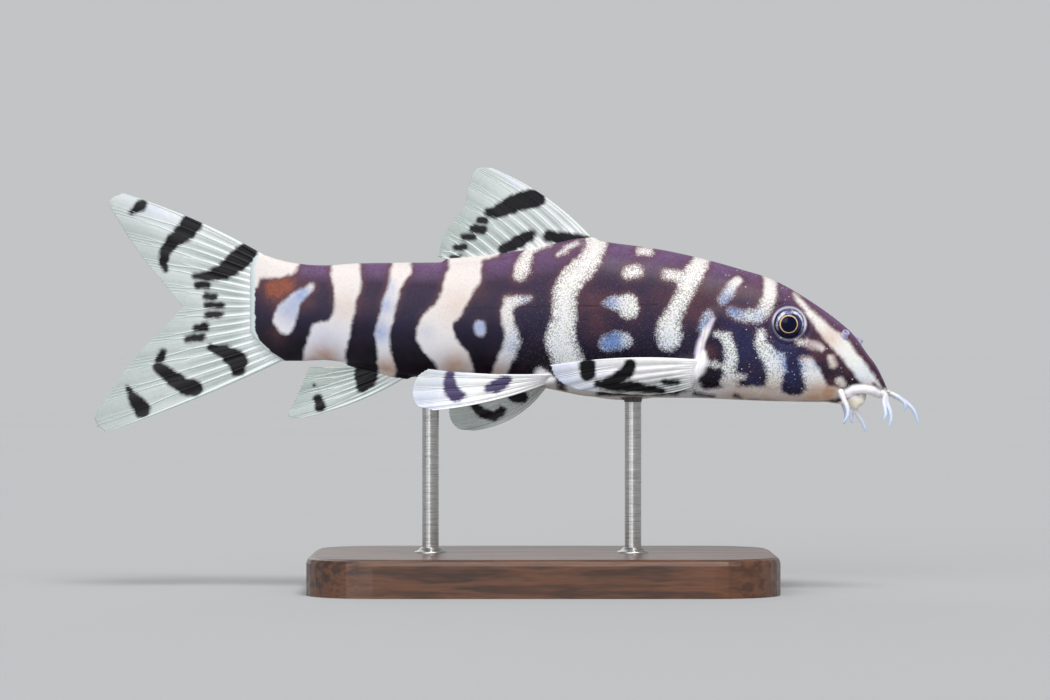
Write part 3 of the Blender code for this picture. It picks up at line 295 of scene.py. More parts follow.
# Fins in side view as in the solids, each from the leading ray to the last one: points (x, z) of
# the root and the free edge, bow of the rays between, how milky the web is, how far the foot goes
# into the flesh, and dark marks. girth scales the rays, lilac veils the marks and flesh thickens
# the root. A median fin has its sway to the left, a paired one its side and how it stands out.
FINS = {
    "dorsal_fin": {
        "root": ((11.2, 10.95), (5.4, 9.8), (-0.7, 8.75), (-7.3, 8.1)),
        "edge": ((-2.0, 20.3), (-3.9, 20.2), (-4.8, 18.6), (-5.6, 15.0), (-7.1, 13.1),
                 (-8.3, 11.0), (-9.0, 8.5)),
        "bow": (-0.9, 0.0), "rays": 13, "milk": (0.5, 0.2), "foot": 0.05, "sway": 0.5,
        "marks": (
            ((4.1, 16.3, 1.33), (1.3, 15.6, 1.27), (-0.5, 14.7, 1.07)),
            ((-1.1, 14.3, 0.8), (-2.2, 14.3, 0.67)),
            ((-2.7, 13.3, 0.6), (-3.5, 13.3, 0.47)),
            ((-3.0, 12.1, 0.67), (-4.2, 12.1, 0.67)),
            ((-4.3, 11.1, 0.53), (-5.5, 11.1, 0.53)),
            ((-5.4, 9.7, 0.53), (-6.6, 9.7, 0.47)),
            ((-6.2, 8.4, 0.4), (-7.1, 8.3, 0.4)),
            ((-0.2, 9.5, 0.8), (1.9, 10.5, 0.93), (3.3, 11.3, 0.8)),
            ((5.7, 11.2, 0.8), (8.1, 10.8, 0.93), (11.3, 10.3, 0.93)),
        ),
    },
    "caudal_fin": {
        "nodes": ("caudal_fin_upper", "caudal_fin_lower"),
        "upper edge": ((-51.4, 17.0), (-53.0, 16.2), (-51.4, 12.5), (-48.7, 8.5), (-45.5, 4.6),
                       (-43.2, 1.8)),
        "lower edge": ((-43.2, 1.8), (-45.3, -0.6), (-49.4, -4.7), (-52.6, -9.2),
                       (-54.8, -14.0), (-53.6, -15.0)),
        "bow": (-0.55, 0.0, 0.35), "rays": 19, "girth": 1.15, "milk": (0.46, 0.4), "foot": 0.06,
        "marks": (
            ((-47.7, 16.3, 0.27), (-48.7, 15.2, 0.8), (-49.9, 14.3, 0.4)),
            ((-41.7, 13.1, 1.47), (-42.6, 11.9, 1.33), (-44.1, 10.7, 1.07), (-45.3, 9.3, 0.8),
             (-45.7, 7.7, 0.67), (-45.3, 6.7, 0.4)),
            ((-34.3, 9.1, 1.4), (-35.9, 7.7, 1.5), (-37.5, 6.5, 1.2), (-39.7, 5.8, 0.75),
             (-41.5, 5.9, 0.45)),
            ((-41.0, 4.7, 0.6), (-39.8, 4.7, 0.62)),
            ((-39.9, 3.2, 0.56), (-38.9, 3.1, 0.56)),
            ((-39.8, 2.0, 0.5), (-37.9, 1.9, 0.5)),
            ((-39.7, 0.7, 0.56), (-38.1, 0.7, 0.56)),
            ((-41.1, -1.1, 0.62), (-40.1, -0.9, 0.66)),
            ((-42.5, -2.5, 0.5), (-40.5, -2.3, 0.62)),
            ((-39.4, -3.6, 0.5), (-37.4, -4.3, 1.05), (-35.7, -5.5, 1.45), (-35.7, -6.5, 1.1)),
            ((-45.7, -4.3, 0.53), (-46.1, -5.3, 0.67)),
            ((-46.3, -6.3, 0.8), (-44.7, -7.5, 1.07), (-42.9, -8.8, 1.2), (-41.5, -9.1, 1.2)),
            ((-50.5, -8.9, 0.27), (-49.7, -10.3, 0.8), (-48.5, -11.9, 1.2)),
        ),
    },
    "anal_fin": {
        "root": ((-13.9, -7.7), (-17.0, -6.95), (-20.1, -6.2)),
        "edge": ((-27.4, -13.05), (-29.0, -12.8), (-28.2, -10.9), (-27.2, -8.8), (-26.2, -6.3)),
        "bow": (0.6, 0.1), "rays": 9, "milk": (0.4, 0.2), "foot": 0.08, "sway": -0.5,
        "marks": (
            ((-18.5, -6.1, 1.73), (-18.6, -7.7, 1.6), (-19.1, -8.9, 0.93)),
            ((-25.0, -10.5, 0.67), (-24.7, -11.5, 0.8)),
            ((-25.5, -8.7, 0.27),),
        ),
    },
    "pelvic_fin_right": {
        "root": ((5.1, -8.4), (5.3, -7.3)),
        "edge": ((-9.6, -11.9), (-11.9, -11.1), (-12.2, -9.2), (-11.4, -7.3), (-10.2, -6.5)),
        "bow": (0.55, 0.3), "rays": 9, "girth": 0.75, "out": (0.36, 0.24), "milk": (1.0, 0.8),
        "lilac": 1.0, "foot": 0.05, "side": -1,
        "marks": (
            ((-7.2, -6.6, 0.5), (-7.5, -7.8, 0.75), (-7.4, -9.1, 1.0), (-6.6, -10.0, 1.0),
             (-5.8, -10.1, 0.55)),
            ((-2.4, -9.2, 0.5), (-1.3, -8.9, 0.95), (-0.2, -8.2, 0.85), (0.4, -7.9, 0.5)),
        ),
    },
    "pelvic_fin_left": {
        "root": ((5.5, -8.6), (5.3, -7.6)),
        "edge": ((-4.6, -14.9), (-6.7, -14.5), (-7.7, -12.6), (-7.2, -10.5), (-6.4, -9.3)),
        "bow": (1.35, 0.3), "rays": 9, "girth": 0.75, "out": (0.4, 0.28), "milk": (0.35, 0.3),
        "foot": 0.05, "side": 1,
        "marks": (
            ((1.4, -10.1, 1.07), (2.2, -10.3, 0.93)),
            ((-4.5, -11.1, 0.53), (-3.1, -12.4, 0.8), (-1.5, -12.9, 0.67), (-0.5, -12.1, 0.67)),
        ),
    },
    "pectoral_fin_right": {
        "root": ((24.7, -5.4), (24.4, -7.2), (24.2, -8.9)),
        "edge": ((5.9, -6.0), (6.4, -7.4), (8.6, -8.9), (12.4, -9.5), (18.2, -9.9)),
        "bow": (-0.55, 0.25), "rays": 13, "girth": 0.75, "out": (0.5, 0.28), "milk": (1.0, 0.5),
        "flesh": 0.1, "foot": 0.07, "side": -1,
        "marks": (
            ((10.9, -6.0, 1.13), (11.0, -7.1, 1.07)),
            ((16.6, -6.0, 0.85), (16.2, -6.9, 0.95), (15.1, -7.7, 0.9), (13.6, -8.4, 0.8)),
            ((12.3, -8.5, 0.6), (14.2, -8.8, 0.73), (16.9, -8.9, 0.8), (19.3, -9.2, 0.6),
             (20.9, -9.5, 0.5)),
            ((21.2, -8.3, 0.42), (22.9, -8.4, 0.42)),
        ),
    },
    "pectoral_fin_left": {
        "root": ((24.2, -8.9), (24.4, -7.6), (24.6, -6.2)),
        "edge": ((7.2, -8.7), (7.4, -7.6), (9.4, -6.5), (13.0, -5.9), (18.0, -5.6)),
        "bow": (1.85, -0.3), "rays": 13, "girth": 0.75, "out": (0.48, 0.3), "milk": (0.95, 0.4),
        "flesh": 0.1, "foot": 0.07, "side": 1,
        "marks": (
            ((11.0, -9.9, 0.93), (11.3, -8.2, 0.8)),
            ((16.4, -10.2, 1.07), (15.8, -8.8, 1.07), (15.0, -7.6, 0.93), (13.9, -6.6, 0.8)),
            ((20.4, -6.4, 0.53), (21.9, -6.6, 0.47)),
        ),
    },
}
CAUDAL_HEIGHTS = (8.75, 1.75, -5.2)  # of the top, the fork and the bottom of its root
SIDE_RISE = 0.84  # how far outside the skin the paired fins start
FOOT_SLOPE = 1.1  # how steeply their feet go into the flesh
WEB_COLUMNS, WEB_ROWS = 8, 64  # across the gap between two rays, and along a ray
WEB_HALF = (0.16, 0.13, 0.08, 0.04)  # half thickness at the foot, root, a quarter and the edge
RAY_POINTS, RAY_SIDES = 34, 7
FIRST_PARTING, SECOND_PARTING, RAY_END = 0.42, 0.7, 0.988  # as shares of a ray's length
# Girth of a ray at its foot, its root, before and after each parting and at its end, and of a
# single ray at its foot, root, middle and end
RAY_GIRTH = (1.2, 1.0, 0.72, 0.5, 0.42, 0.3, 0.16)
SINGLE_GIRTH = (1.5, 1.35, 0.9, 0.25)
RAY_CLEAR = 0.12  # how far a blotch stops short of its rim on the rays

# Feelers: side, root (x, z, how far outside the skin), the point in the flesh that each grows
# from, and for each strand its steps from the root to the tip, given for the right side
FEELERS = {
    "rostral_barbels_right": (-1, (50.2, -9.95, 0.75), (49.6, -0.5, -9.5), (
        ((-0.15, -0.25, -0.9), (-0.05, -0.5, -1.8), (0.0, -0.7, -2.6), (-0.3, -0.8, -3.4)),
        ((0.2, -0.05, -1.0), (0.6, -0.1, -2.1), (0.75, -0.15, -3.2), (0.45, -0.2, -4.3)))),
    "rostral_barbels_left": (1, (50.7, -9.6, 0.9), (49.8, 0.4, -9.4), (
        ((0.9, -0.1, -0.35), (1.8, -0.15, -0.85), (2.4, -0.2, -1.6), (2.3, -0.3, -2.6)),
        ((1.0, -0.25, -0.5), (2.2, -0.5, -1.15), (3.5, -0.8, -2.3), (4.25, -1.0, -4.2)))),
    "maxillary_barbel_right": (-1, (44.4, -9.75, 0.5), (44.3, -2.0, -9.3), (
        ((0.35, -0.2, -0.9), (0.75, -0.35, -1.9), (0.75, -0.45, -2.9), (0.2, -0.5, -3.9)),)),
    "maxillary_barbel_left": (1, (44.4, -9.75, 0.5), (44.3, 2.0, -9.3), (
        ((0.45, -0.2, -1.0), (0.95, -0.4, -2.1), (1.1, -0.6, -3.1), (0.8, -0.8, -4.2)),)),
    "mandibular_barbel_right": (-1, (46.0, -12.0, 2.2), (46.0, -0.75, -11.2), (
        ((-0.1, -0.1, -0.55), (-0.1, -0.15, -1.1), (0.05, -0.2, -1.7)),)),
    "mandibular_barbel_left": (1, (46.5, -12.0, 2.2), (46.4, 0.75, -11.2), (
        ((0.45, -0.1, -0.8), (0.95, -0.25, -1.7), (1.35, -0.4, -2.8)),)),
}
FEELER_POINTS, FEELER_SIDES = 40, 16
FEELER_TAPER = ((0.0, 0.12, 0.3, 0.6, 0.85, 0.95, 1.0), (0.55, 0.4, 0.35, 0.3, 0.22, 0.15, 0.06))


def tone(red, green, blue):
    """A screen colour from 0 to 255 as the linear colour that a material takes."""
    shares = np.array((red, green, blue)) / 255
    linear = np.where(shares <= 0.04045, shares / 12.92, ((shares + 0.055) / 1.055) ** 2.4)
    return tuple(float(v) for v in linear)


def shade(name, description, screen):
    """A setting for a colour, whose default is given as a screen colour."""
    return bpy.props.FloatVectorProperty(
        name=name, description=description, subtype="COLOR", default=tone(*screen), min=0, max=1)


def number(name, description, **settings):
    """A setting for a size or a strength."""
    return bpy.props.FloatProperty(name=name, description=description, **settings)


# Shapes that follow the solids


def smooth_through(x, xs, ys):
    """Cubic curve through the points (xs, ys), read at x."""
    slopes = np.gradient(ys, xs)
    i = np.clip(np.searchsorted(xs, x) - 1, 0, len(xs) - 2)
    step = xs[i + 1] - xs[i]
    t = np.clip((x - xs[i]) / step, 0.0, 1.0)
    start = (2 * t**3 - 3 * t**2 + 1) * ys[i] + (t**3 - 2 * t**2 + t) * step * slopes[i]
    end = (3 * t**2 - 2 * t**3) * ys[i + 1] + (t**3 - t**2) * step * slopes[i + 1]
    return start + end


def ease(t):
    """0 to 1 with level ends."""
    t = np.clip(t, 0.0, 1.0)
    return t * t * (3 - 2 * t)


def section(x):
    """Back, belly, half width, widest height and the two roundings of the section at x."""
    back, belly, half = (smooth_through(x, SECTIONS[:, 0], SECTIONS[:, k]) for k in (1, 2, 3))
    share, round_up, round_down = (np.interp(x, ROUNDING[:, 0], ROUNDING[:, k]) for k in (1, 2, 3))
    return back, belly, half, belly + share * (back - belly), round_up, round_down


def gill_edge(z):
    """How far the gill edge leans forward of GILL_X at height z."""
    return GILL_LEAN * np.tanh((z - GILL_MIDDLE) / 5.0)


def tail_edge(z):
    """How far the end of the tail lies forward of TAIL_X at height z."""
    low = np.clip((-1.3 - z) / 4.2, 0.0, None)
    high = np.clip((z - 6.5) / 2.6, 0.0, None)
    return 4.0 * low**1.6 + 0.9 * high**2


def skin_half_width(x, z, swell=0.0):
    """Distance from the middle plane, at x and z, of the skin or of a layer swell outside it."""
    back, belly, half, middle, round_up, round_down = section(x)
    back, belly, half = back + swell, belly - swell, half + swell
    up = z >= middle
    height = np.where(up, back - middle, middle - belly)
    rounding = np.where(up, round_up, round_down)
    share = np.clip(abs(z - middle) / height, 0.0, 1.0)
    return half * (1 - share**rounding) ** (1 / rounding)


def posed(points):
    """The points moved sideways with the bend of the spine."""
    points = np.array(points, float)
    x = points[..., 0]
    head = np.clip((x - HEAD_BEND_START) / (SNOUT_X - HEAD_BEND_START), 0.0, None)
    tail = np.clip((TAIL_BEND_START - x) / (TAIL_BEND_START - TAIL_TIP_X), 0.0, None)
    points[..., 1] += HEAD_BEND * head**2 + TAIL_BEND * tail**2
    return points


def placed(points):
    """Points of the fish's own frame, in the scene in metres."""
    points = posed(points)
    points[..., 2] += LIFT
    return points * MM


def curve_through(points, samples=60):
    """A smooth curve through a few points, as evenly spaced points."""
    points = np.array(points, float)
    marks = np.concatenate(((0,), np.cumsum(np.linalg.norm(np.diff(points, axis=0), axis=1))))
    fine = np.linspace(0, marks[-1], 8 * samples)
    line = np.stack([smooth_through(fine, marks, column) for column in points.T], 1)
    length = np.concatenate(((0,), np.cumsum(np.linalg.norm(np.diff(line, axis=0), axis=1))))
    even = np.linspace(0, length[-1], samples)
    return np.stack([np.interp(even, length, column) for column in line.T], 1)


def read_curve(curve, share):
    """Points of a sampled curve at shares of its length from 0 to 1."""
    marks = np.linspace(0, 1, len(curve))
    return np.stack([np.interp(share, marks, column) for column in curve.T], -1)


# Distances that shape the skin and its markings


def blend_distance(a, b, width):
    """The nearer of two distances, with the crease between them filled over a width."""
    h = np.clip(0.5 + 0.5 * (b - a) / width, 0, 1)
    return b * (1 - h) + a * h - width * h * (1 - h)


def to_stroke(points, path):
    """Distance from points to a tapering stroke, whose path ends each row with a radius."""
    path = np.array(path, float)
    if len(path) == 1:
        path = np.concatenate((path, path))
    near = np.full(len(points), 1e3)
    for a, b in zip(path[:-1], path[1:]):
        along = b[:-1] - a[:-1]
        share = np.clip((points - a[:-1]) @ along / max(along @ along, 1e-9), 0, 1)
        away = np.linalg.norm(points - a[:-1] - share[:, None] * along, axis=1)
        near = np.minimum(near, away - (a[-1] + share * (b[-1] - a[-1])))
    return near


def to_ball(points, centre, radii):
    """Distance from points to an upright ellipsoid, near enough close to it."""
    offset = points - np.array(centre)
    scaled = np.linalg.norm(offset / np.array(radii), axis=1)
    slope = np.linalg.norm(offset / np.array(radii) ** 2, axis=1) + 1e-9
    return scaled * (scaled - 1) / slope


def bell(away, width):
    """1 at nought, falling off evenly over a width."""
    return np.exp(-((away / width) ** 2))


def folded(points):
    """The points with those of the right side moved across to the left."""
    return np.stack((points[:, 0], abs(points[:, 1]), points[:, 2]), 1)


def inside_strokes(points, strokes):
    """How deep points lie inside any of the strokes, below zero outside them."""
    return -np.min([to_stroke(points, stroke) for stroke in strokes], axis=0)


def wash(points, washes):
    """Strength of soft round washes of colour at (x, z) points."""
    total = np.zeros(len(points))
    for x, z, radius, strength in washes:
        away = np.hypot(points[:, 0] - x, points[:, 1] - z)
        total += strength * bell(away, radius)
    return np.clip(total, 0, 2)


# Meshes


def grid_faces(rows, columns, closed=False):
    """Four-sided faces over rows of points, joined round where the rows are closed."""
    i = np.arange(rows - 1)[:, None]
    j = np.arange(columns if closed else columns - 1)[None, :]
    k = (j + 1) % columns
    a, b = i * columns + j, i * columns + k
    c, d = (i + 1) * columns + k, (i + 1) * columns + j
    return np.stack(np.broadcast_arrays(a, d, c, b), -1).reshape(-1, 4).tolist()


def ringed_faces(rows, sides):
    """Faces over closed rings and round a point at each end, counted after the rings."""
    faces = grid_faces(rows, sides, True)
    first, last = rows * sides, rows * sides + 1
    for j in range(sides):
        k = (j + 1) % sides
        faces.append((first, j, k))
        faces.append((last, (rows - 1) * sides + k, (rows - 1) * sides + j))
    return faces


def points_of(mesh):
    """The mesh's points, one in each row."""
    values = np.zeros(len(mesh.vertices) * 3)
    mesh.vertices.foreach_get("co", values)
    return values.reshape(-1, 3)


def signed_volume(mesh):
    """Volume of a closed mesh, below zero where its faces point inwards."""
    mesh.calc_loop_triangles()
    index = np.zeros(len(mesh.loop_triangles) * 3, int)
    mesh.loop_triangles.foreach_get("vertices", index)
    points = points_of(mesh)
    a, b, c = (points[index.reshape(-1, 3)[:, k]] for k in range(3))
    return float(np.einsum("ij,ij->i", a, np.cross(b, c)).sum() / 6)


def shown(name, mesh):
    """An object at the origin with this mesh, whose faces are turned outwards."""
    if signed_volume(mesh) < 0:
        mesh.flip_normals()
    piece = bpy.data.objects.new(name, mesh)
    bpy.context.scene.collection.objects.link(piece)
    return piece


def make_piece(name, points, faces, material):
    """A smooth object of one material."""
    mesh = bpy.data.meshes.new(name)
    mesh.from_pydata(np.asarray(points).tolist(), [], faces)
    mesh.materials.append(material)
    mesh.shade_smooth()
    return shown(name, mesh)


def note(piece, name, values):
    """Stores one number for each point of a piece, for its material to read."""
    layer = piece.data.attributes.new(name, "FLOAT", "POINT")
    layer.data.foreach_set("value", np.asarray(values, np.float32))


def own_points(piece):
    """The piece's points in the fish's own frame, in millimetres, before the spine's bend."""
    points = points_of(piece.data) / MM
    points[:, 2] -= LIFT
    points[:, 1] -= posed(points * (1, 0, 1))[:, 1]
    return points


def settle(piece, slot, *nodes):
    """The piece moves with the body and stands for these solids, which are hidden. Its slot is not
    used.
    """
    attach(piece, BODY)
    if nodes:
        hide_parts(*nodes)


def feed(tree, node, inputs):
    """Gives a node's inputs plain values or the outputs of other nodes."""
    for key, value in inputs.items():
        socket = node.inputs[key]
        if isinstance(value, bpy.types.NodeSocket):
            tree.links.new(value, socket)
        elif socket.type == "RGBA" and len(value) == 3:
            socket.default_value = (*value, 1.0)
        else:
            socket.default_value = value


def make_node(tree, kind, inputs=None, **settings):
    """The outputs of a new node with these inputs and settings."""
    node = tree.nodes.new(kind)
    for key, value in settings.items():
        setattr(node, key, value)
    feed(tree, node, inputs or {})
    return node.outputs


def growing_tree(title, inputs, build):
    """Geometry nodes with named inputs, made once, that end in plain faces with a material.

    build makes the nodes between from the inputs' sockets, and gives the socket they end in.
    """
    if title in bpy.data.node_groups:
        return bpy.data.node_groups[title]
    tree = bpy.data.node_groups.new(title, "GeometryNodeTree")
    socket, made = tree.interface.new_socket, partial(make_node, tree)
    socket("Geometry", in_out="OUTPUT", socket_type="NodeSocketGeometry")
    for name, kind in (("Geometry", "Geometry"), *inputs, ("Material", "Material")):
        socket(name, in_out="INPUT", socket_type=f"NodeSocket{kind}")
    given = made("NodeGroupInput")
    plain = made("GeometryNodeRealizeInstances", {"Geometry": build(made, given)})
    done = made("GeometryNodeSetMaterial", {"Geometry": plain["Geometry"],
                                            "Material": given["Material"]})
    made("NodeGroupOutput", {"Geometry": done["Geometry"]})
    return tree


def sweep_nodes(made, given):
    """Nodes that sweep a round bar of changing thickness along loose paths."""
    curve = made("GeometryNodeMeshToCurve", {"Mesh": given["Geometry"]})
    circle = made("GeometryNodeCurvePrimitiveCircle",
                  {"Radius": 1.0, "Resolution": given["Sides"]})
    girth = made("GeometryNodeInputNamedAttribute", {"Name": "girth"}, data_type="FLOAT")
    scale = made("ShaderNodeMath", {0: girth["Attribute"], 1: given["Thickness"]},
                 operation="MULTIPLY")
    bar = made("GeometryNodeCurveToMesh", {
        "Curve": curve["Curve"], "Profile Curve": circle["Curve"],
        "Scale": scale["Value"], "Fill Caps": True})
    return made("GeometryNodeSetShadeSmooth", {"Geometry": bar["Mesh"]})["Geometry"]


def scatter_nodes(made, given):
    """Nodes that set one made shape on every point of a mesh."""
    points = made("GeometryNodeMeshToPoints", {"Mesh": given["Geometry"]})
    shape = made("GeometryNodeObjectInfo", {"Object": given["Shape"]})
    return made("GeometryNodeInstanceOnPoints", {
        "Points": points["Points"], "Instance": shape["Geometry"],
        "Scale": given["Size"]})["Instances"]


SWEEP = ("Sweep along paths", (("Thickness", "Float"), ("Sides", "Int")), sweep_nodes)
SCATTER = ("Set on points", (("Shape", "Object"), ("Size", "Float")), scatter_nodes)


def grown(name, points, edges, notes, tree, values):
    """The plain mesh object that a tree, given as a plan, makes from points and edges."""
    start = bpy.data.meshes.new(f"{name}_paths")
    start.from_pydata(np.asarray(points).tolist(), edges, [])
    maker = bpy.data.objects.new(f"{name}_maker", start)
    bpy.context.scene.collection.objects.link(maker)
    for title, numbers in notes.items():
        note(maker, title, numbers)
    step = maker.modifiers.new("Make", "NODES")
    step.node_group = growing_tree(*tree)
    for item in step.node_group.interface.items_tree:
        if item.name in values:
            step[item.identifier] = values[item.name]
    depsgraph = bpy.context.evaluated_depsgraph_get()
    mesh = bpy.data.meshes.new_from_object(maker.evaluated_get(depsgraph))
    mesh.name = name
    bpy.data.objects.remove(maker, do_unlink=True)
    bpy.data.meshes.remove(start)
    if not mesh.vertices:
        raise RuntimeError(f"{name} came out empty")
    return shown(name, mesh)


def turned_shape(profile, sides):
    """Points and faces of a closed shape turned about Z, from (radius, height) points."""
    angle = np.arange(sides) * 2 * math.pi / sides
    rings = [np.stack((r * np.cos(angle), r * np.sin(angle), np.full(sides, h)), 1)
             for r, h in profile[1:-1]]
    ends = np.array([(0, 0, profile[0][1]), (0, 0, profile[-1][1])])
    return np.concatenate(rings + [ends]), ringed_faces(len(rings), sides)


# Finishes


class Finish:
    """One material, and what makes the nodes of its look."""

    def __init__(self, name):
        self.material = bpy.data.materials.new(name)
        self.material.use_nodes = True
        self.tree = self.material.node_tree
        self.node = partial(make_node, self.tree)
        self.place = self.node("ShaderNodeTexCoord")["Object"]

    def math(self, operation, a, b=0.0, clamp=False):
        """The result of one step of arithmetic."""
        return self.node("ShaderNodeMath", {0: a, 1: b}, operation=operation, use_clamp=clamp)[0]

    def times(self, *values, clamp=False):
        """The product of values."""
        return reduce(lambda a, b: self.math("MULTIPLY", a, b, clamp), values)

    def plus(self, *values, clamp=False):
        """The sum of values."""
        return reduce(lambda a, b: self.math("ADD", a, b, clamp), values)

    def less(self, a, b):
        """One value less another."""
        return self.math("SUBTRACT", a, b)

    def span(self, value, low, high, start=0.0, end=1.0, smooth=False):
        """A value mapped from low..high to start..end, and held there outside it."""
        return self.node(
            "ShaderNodeMapRange", dict(enumerate((value, low, high, start, end))),
            interpolation_type="SMOOTHSTEP" if smooth else "LINEAR", clamp=True)[0]

    def mix(self, share, a, b):
        """Two colours mixed."""
        return self.node("ShaderNodeMix", {0: share, 6: a, 7: b}, data_type="RGBA")[2]

    def over(self, ground, *layers):
        """Layers, each a cover and a colour, laid over a ground in order."""
        return reduce(lambda under, layer: self.mix(layer[0], under, layer[1]), layers, ground)

    def ramp(self, value, stops):
        """Colours along a value."""
        colour = self.node("ShaderNodeValToRGB", {0: value})[0]
        bands = colour.node.color_ramp.elements
        while len(bands) < len(stops):
            bands.new(0.5)
        for band, (place, stop) in zip(bands, stops):
            band.position = place
            band.color = (*stop, 1.0)
        return colour

    def noise(self, size, detail=2.0, roughness=0.5, stretch=None):
        """Noise whose blotches are about size millimetres across, scaled along each axis."""
        place = self.place
        if stretch:
            place = self.node("ShaderNodeMapping", {"Vector": place, "Scale": stretch})[0]
        return self.node("ShaderNodeTexNoise", {
            "Vector": place, "Scale": 1 / (size * MM), "Detail": detail,
            "Roughness": roughness})["Fac"]

    def cells(self, size, part="Distance"):
        """Cells about size millimetres across, read as distance or as a random colour."""
        scale = 1 / (size * MM)
        return self.node("ShaderNodeTexVoronoi", {"Vector": self.place, "Scale": scale})[part]

    def read(self, name):
        """A number stored on the piece."""
        return self.node("ShaderNodeAttribute", attribute_name=name)["Fac"]

    def bump(self, height, distance, strength=1.0):
        """Fine relief, distance millimetres high."""
        relief = {"Height": height, "Distance": distance * MM, "Strength": strength}
        self.set(Normal=self.node("ShaderNodeBump", relief)[0])

    def set(self, **values):
        """Sets inputs of the shader, named with underscores for spaces."""
        shader = self.tree.nodes["Principled BSDF"]
        feed(self.tree, shader, {key.replace("_", " "): value for key, value in values.items()})
        return self.material


# The skin


def skin_stations():
    """Places of the skin's rings along X, closest at the gill, the eye and the mouth."""
    places = [np.linspace(a, b, max(2, round((b - a) / gap)), endpoint=False)
              for a, b, gap in RING_SPANS]
    return np.concatenate(places + [np.array((SNOUT_X,))])


def skin_ring(station, sides):
    """One ring of the skin, counted from the back down the left side."""
    angle = np.arange(sides) * 2 * math.pi / sides
    across, up = np.sin(angle), np.cos(angle)
    x = np.full(sides, float(station))
    for _ in range(4):
        back, belly, half, middle, round_up, round_down = section(x)
        rounding = np.where(up >= 0, round_up, round_down)
        height = np.where(up >= 0, back - middle, middle - belly)
        z = middle + height * np.sign(up) * abs(up) ** (2 / rounding)
        near_gill = np.clip(1 - abs(station - GILL_X) / GILL_REACH, 0.0, 1.0)
        near_tail = np.clip((TAIL_X + TAIL_REACH - station) / TAIL_REACH, 0.0, 1.0)
        x = station + near_gill * gill_edge(z) + near_tail * tail_edge(z)
    y = half * np.sign(across) * abs(across) ** (2 / rounding)
    return np.stack((x, y, z), 1)


def closing_rings(ring, reach, count, upright):
    """Rings that round an end off, reach mm beyond its last ring.

    upright is how much of the height goes with the width: at 1 the end closes to a point, and
    near 0 to a thin upright edge.
    """
    middle = ring.mean(0)
    rings = []
    for k in range(1, count + 1):
        turn = k / count * math.pi / 2
        share = max(math.cos(turn), 0.02)
        tall = 1 - upright * (1 - share)
        closer = middle + (ring - middle) * (tall, share, tall)
        closer[:, 0] += reach * math.sin(turn)
        rings.append(closer)
    return rings


def side_roots():
    """Strokes (x, y, z, radius) of the fleshy roots of the paired fins, and their blends."""
    return [([(x, float(skin_half_width(x, z)) + lift, z, radius) for x, z, radius in arm], width)
            for arm, lift, width in ARMS]


def skin_forms():
    """Raised forms of the skin: how far points of the left side are from each, and its blend."""
    forms = [(to_stroke, (UPPER_LIP,), 0.22), (to_stroke, (LOWER_LIP,), 0.2),
             (to_ball, (JAW_PLACE, JAW_RADII), 0.9), (to_ball, (CHIN_PLACE, CHIN_RADII), 0.35)]
    forms += [(to_stroke, (path,), width) for path, width in side_roots()]
    for ends, ridge, upward in ((DORSAL_FOOT, 0.5, True), (ANAL_FOOT, 0.45, False)):
        along = np.linspace(*ends, 9)
        back, belly = section(along)[:2]
        height = back - 0.05 if upward else belly + 0.05
        forms.append((to_stroke, ([(a, 0.0, h, ridge) for a, h in zip(along, height)],), 0.7))
    return forms


def raised(points, normals):
    """How far each point moves along its normal to reach the skin's raised forms."""
    forms = skin_forms()
    flip = np.where(points[:, 1:2] < 0, np.array((1.0, -1.0, 1.0)), 1.0)
    base, out = points * flip, normals * flip
    away = np.min([form(folded(base), *given) for form, given, _ in forms], axis=0)
    chosen = np.flatnonzero(away < FORM_REACH)
    rise = np.full(len(chosen), SEARCH_START)
    for _ in range(SEARCH_STEPS):
        there = folded(base[chosen] + out[chosen] * rise[:, None])
        distance = rise
        for form, given, width in forms:
            distance = blend_distance(distance, form(there, *given), width)
        rise = np.clip(rise - SEARCH_STEP * distance, *SEARCH_LIMITS)
    moved = np.zeros(len(points))
    moved[chosen] = rise
    return moved


def skin_relief(points):
    """Finer relief of the skin along its normal: gill cover, eye rims, mouth and folds."""
    x, y, z = points.T
    side, flat = folded(points), points[:, (0, 2)]
    ahead = x - (GILL_X + gill_edge(z))
    upright = ease((GILL_TOP + 1.4 - z) / 2.6) * ease((z - GILL_BOTTOM) / 1.5)
    cover = 0.36 * ease(1 - ahead / 6.0) * ease((ahead + 0.12) / 0.24)
    relief = upright * (cover - 0.2 * bell(ahead + 0.35, 0.28))
    away = np.hypot(x - EYE_X, z - EYE_Z)
    relief += 0.24 * bell(away - 2.2, 0.2)
    relief -= 0.64 * ease((2.04 - away) / 0.24)
    relief -= 0.12 * bell(away - 2.78, 0.25)
    fringe = ease(1 - to_ball(side, CHIN_PLACE, CHIN_RADII) / 0.6) * ease((-10.9 - z) / 0.5)
    relief += 0.17 * fringe * np.sin(4.4 * x + 2.0) * np.cos(3.1 * y)
    relief -= 0.34 * bell(to_stroke(side, MOUTH_LINE), 0.17)
    for fold, depth, width in FOLDS:
        relief -= depth * bell(np.clip(to_stroke(flat, fold), 0, None), width)
    return relief


def as_seen(points):
    """(x, z) at which the photo shows points, which is where the markings are measured."""
    near = SIGHT / (SIGHT + posed(points)[:, 1])
    return np.stack((SIGHT_X + (points[:, 0] - SIGHT_X) * near,
                     SIGHT_Z + (points[:, 2] - SIGHT_Z) * near), 1)


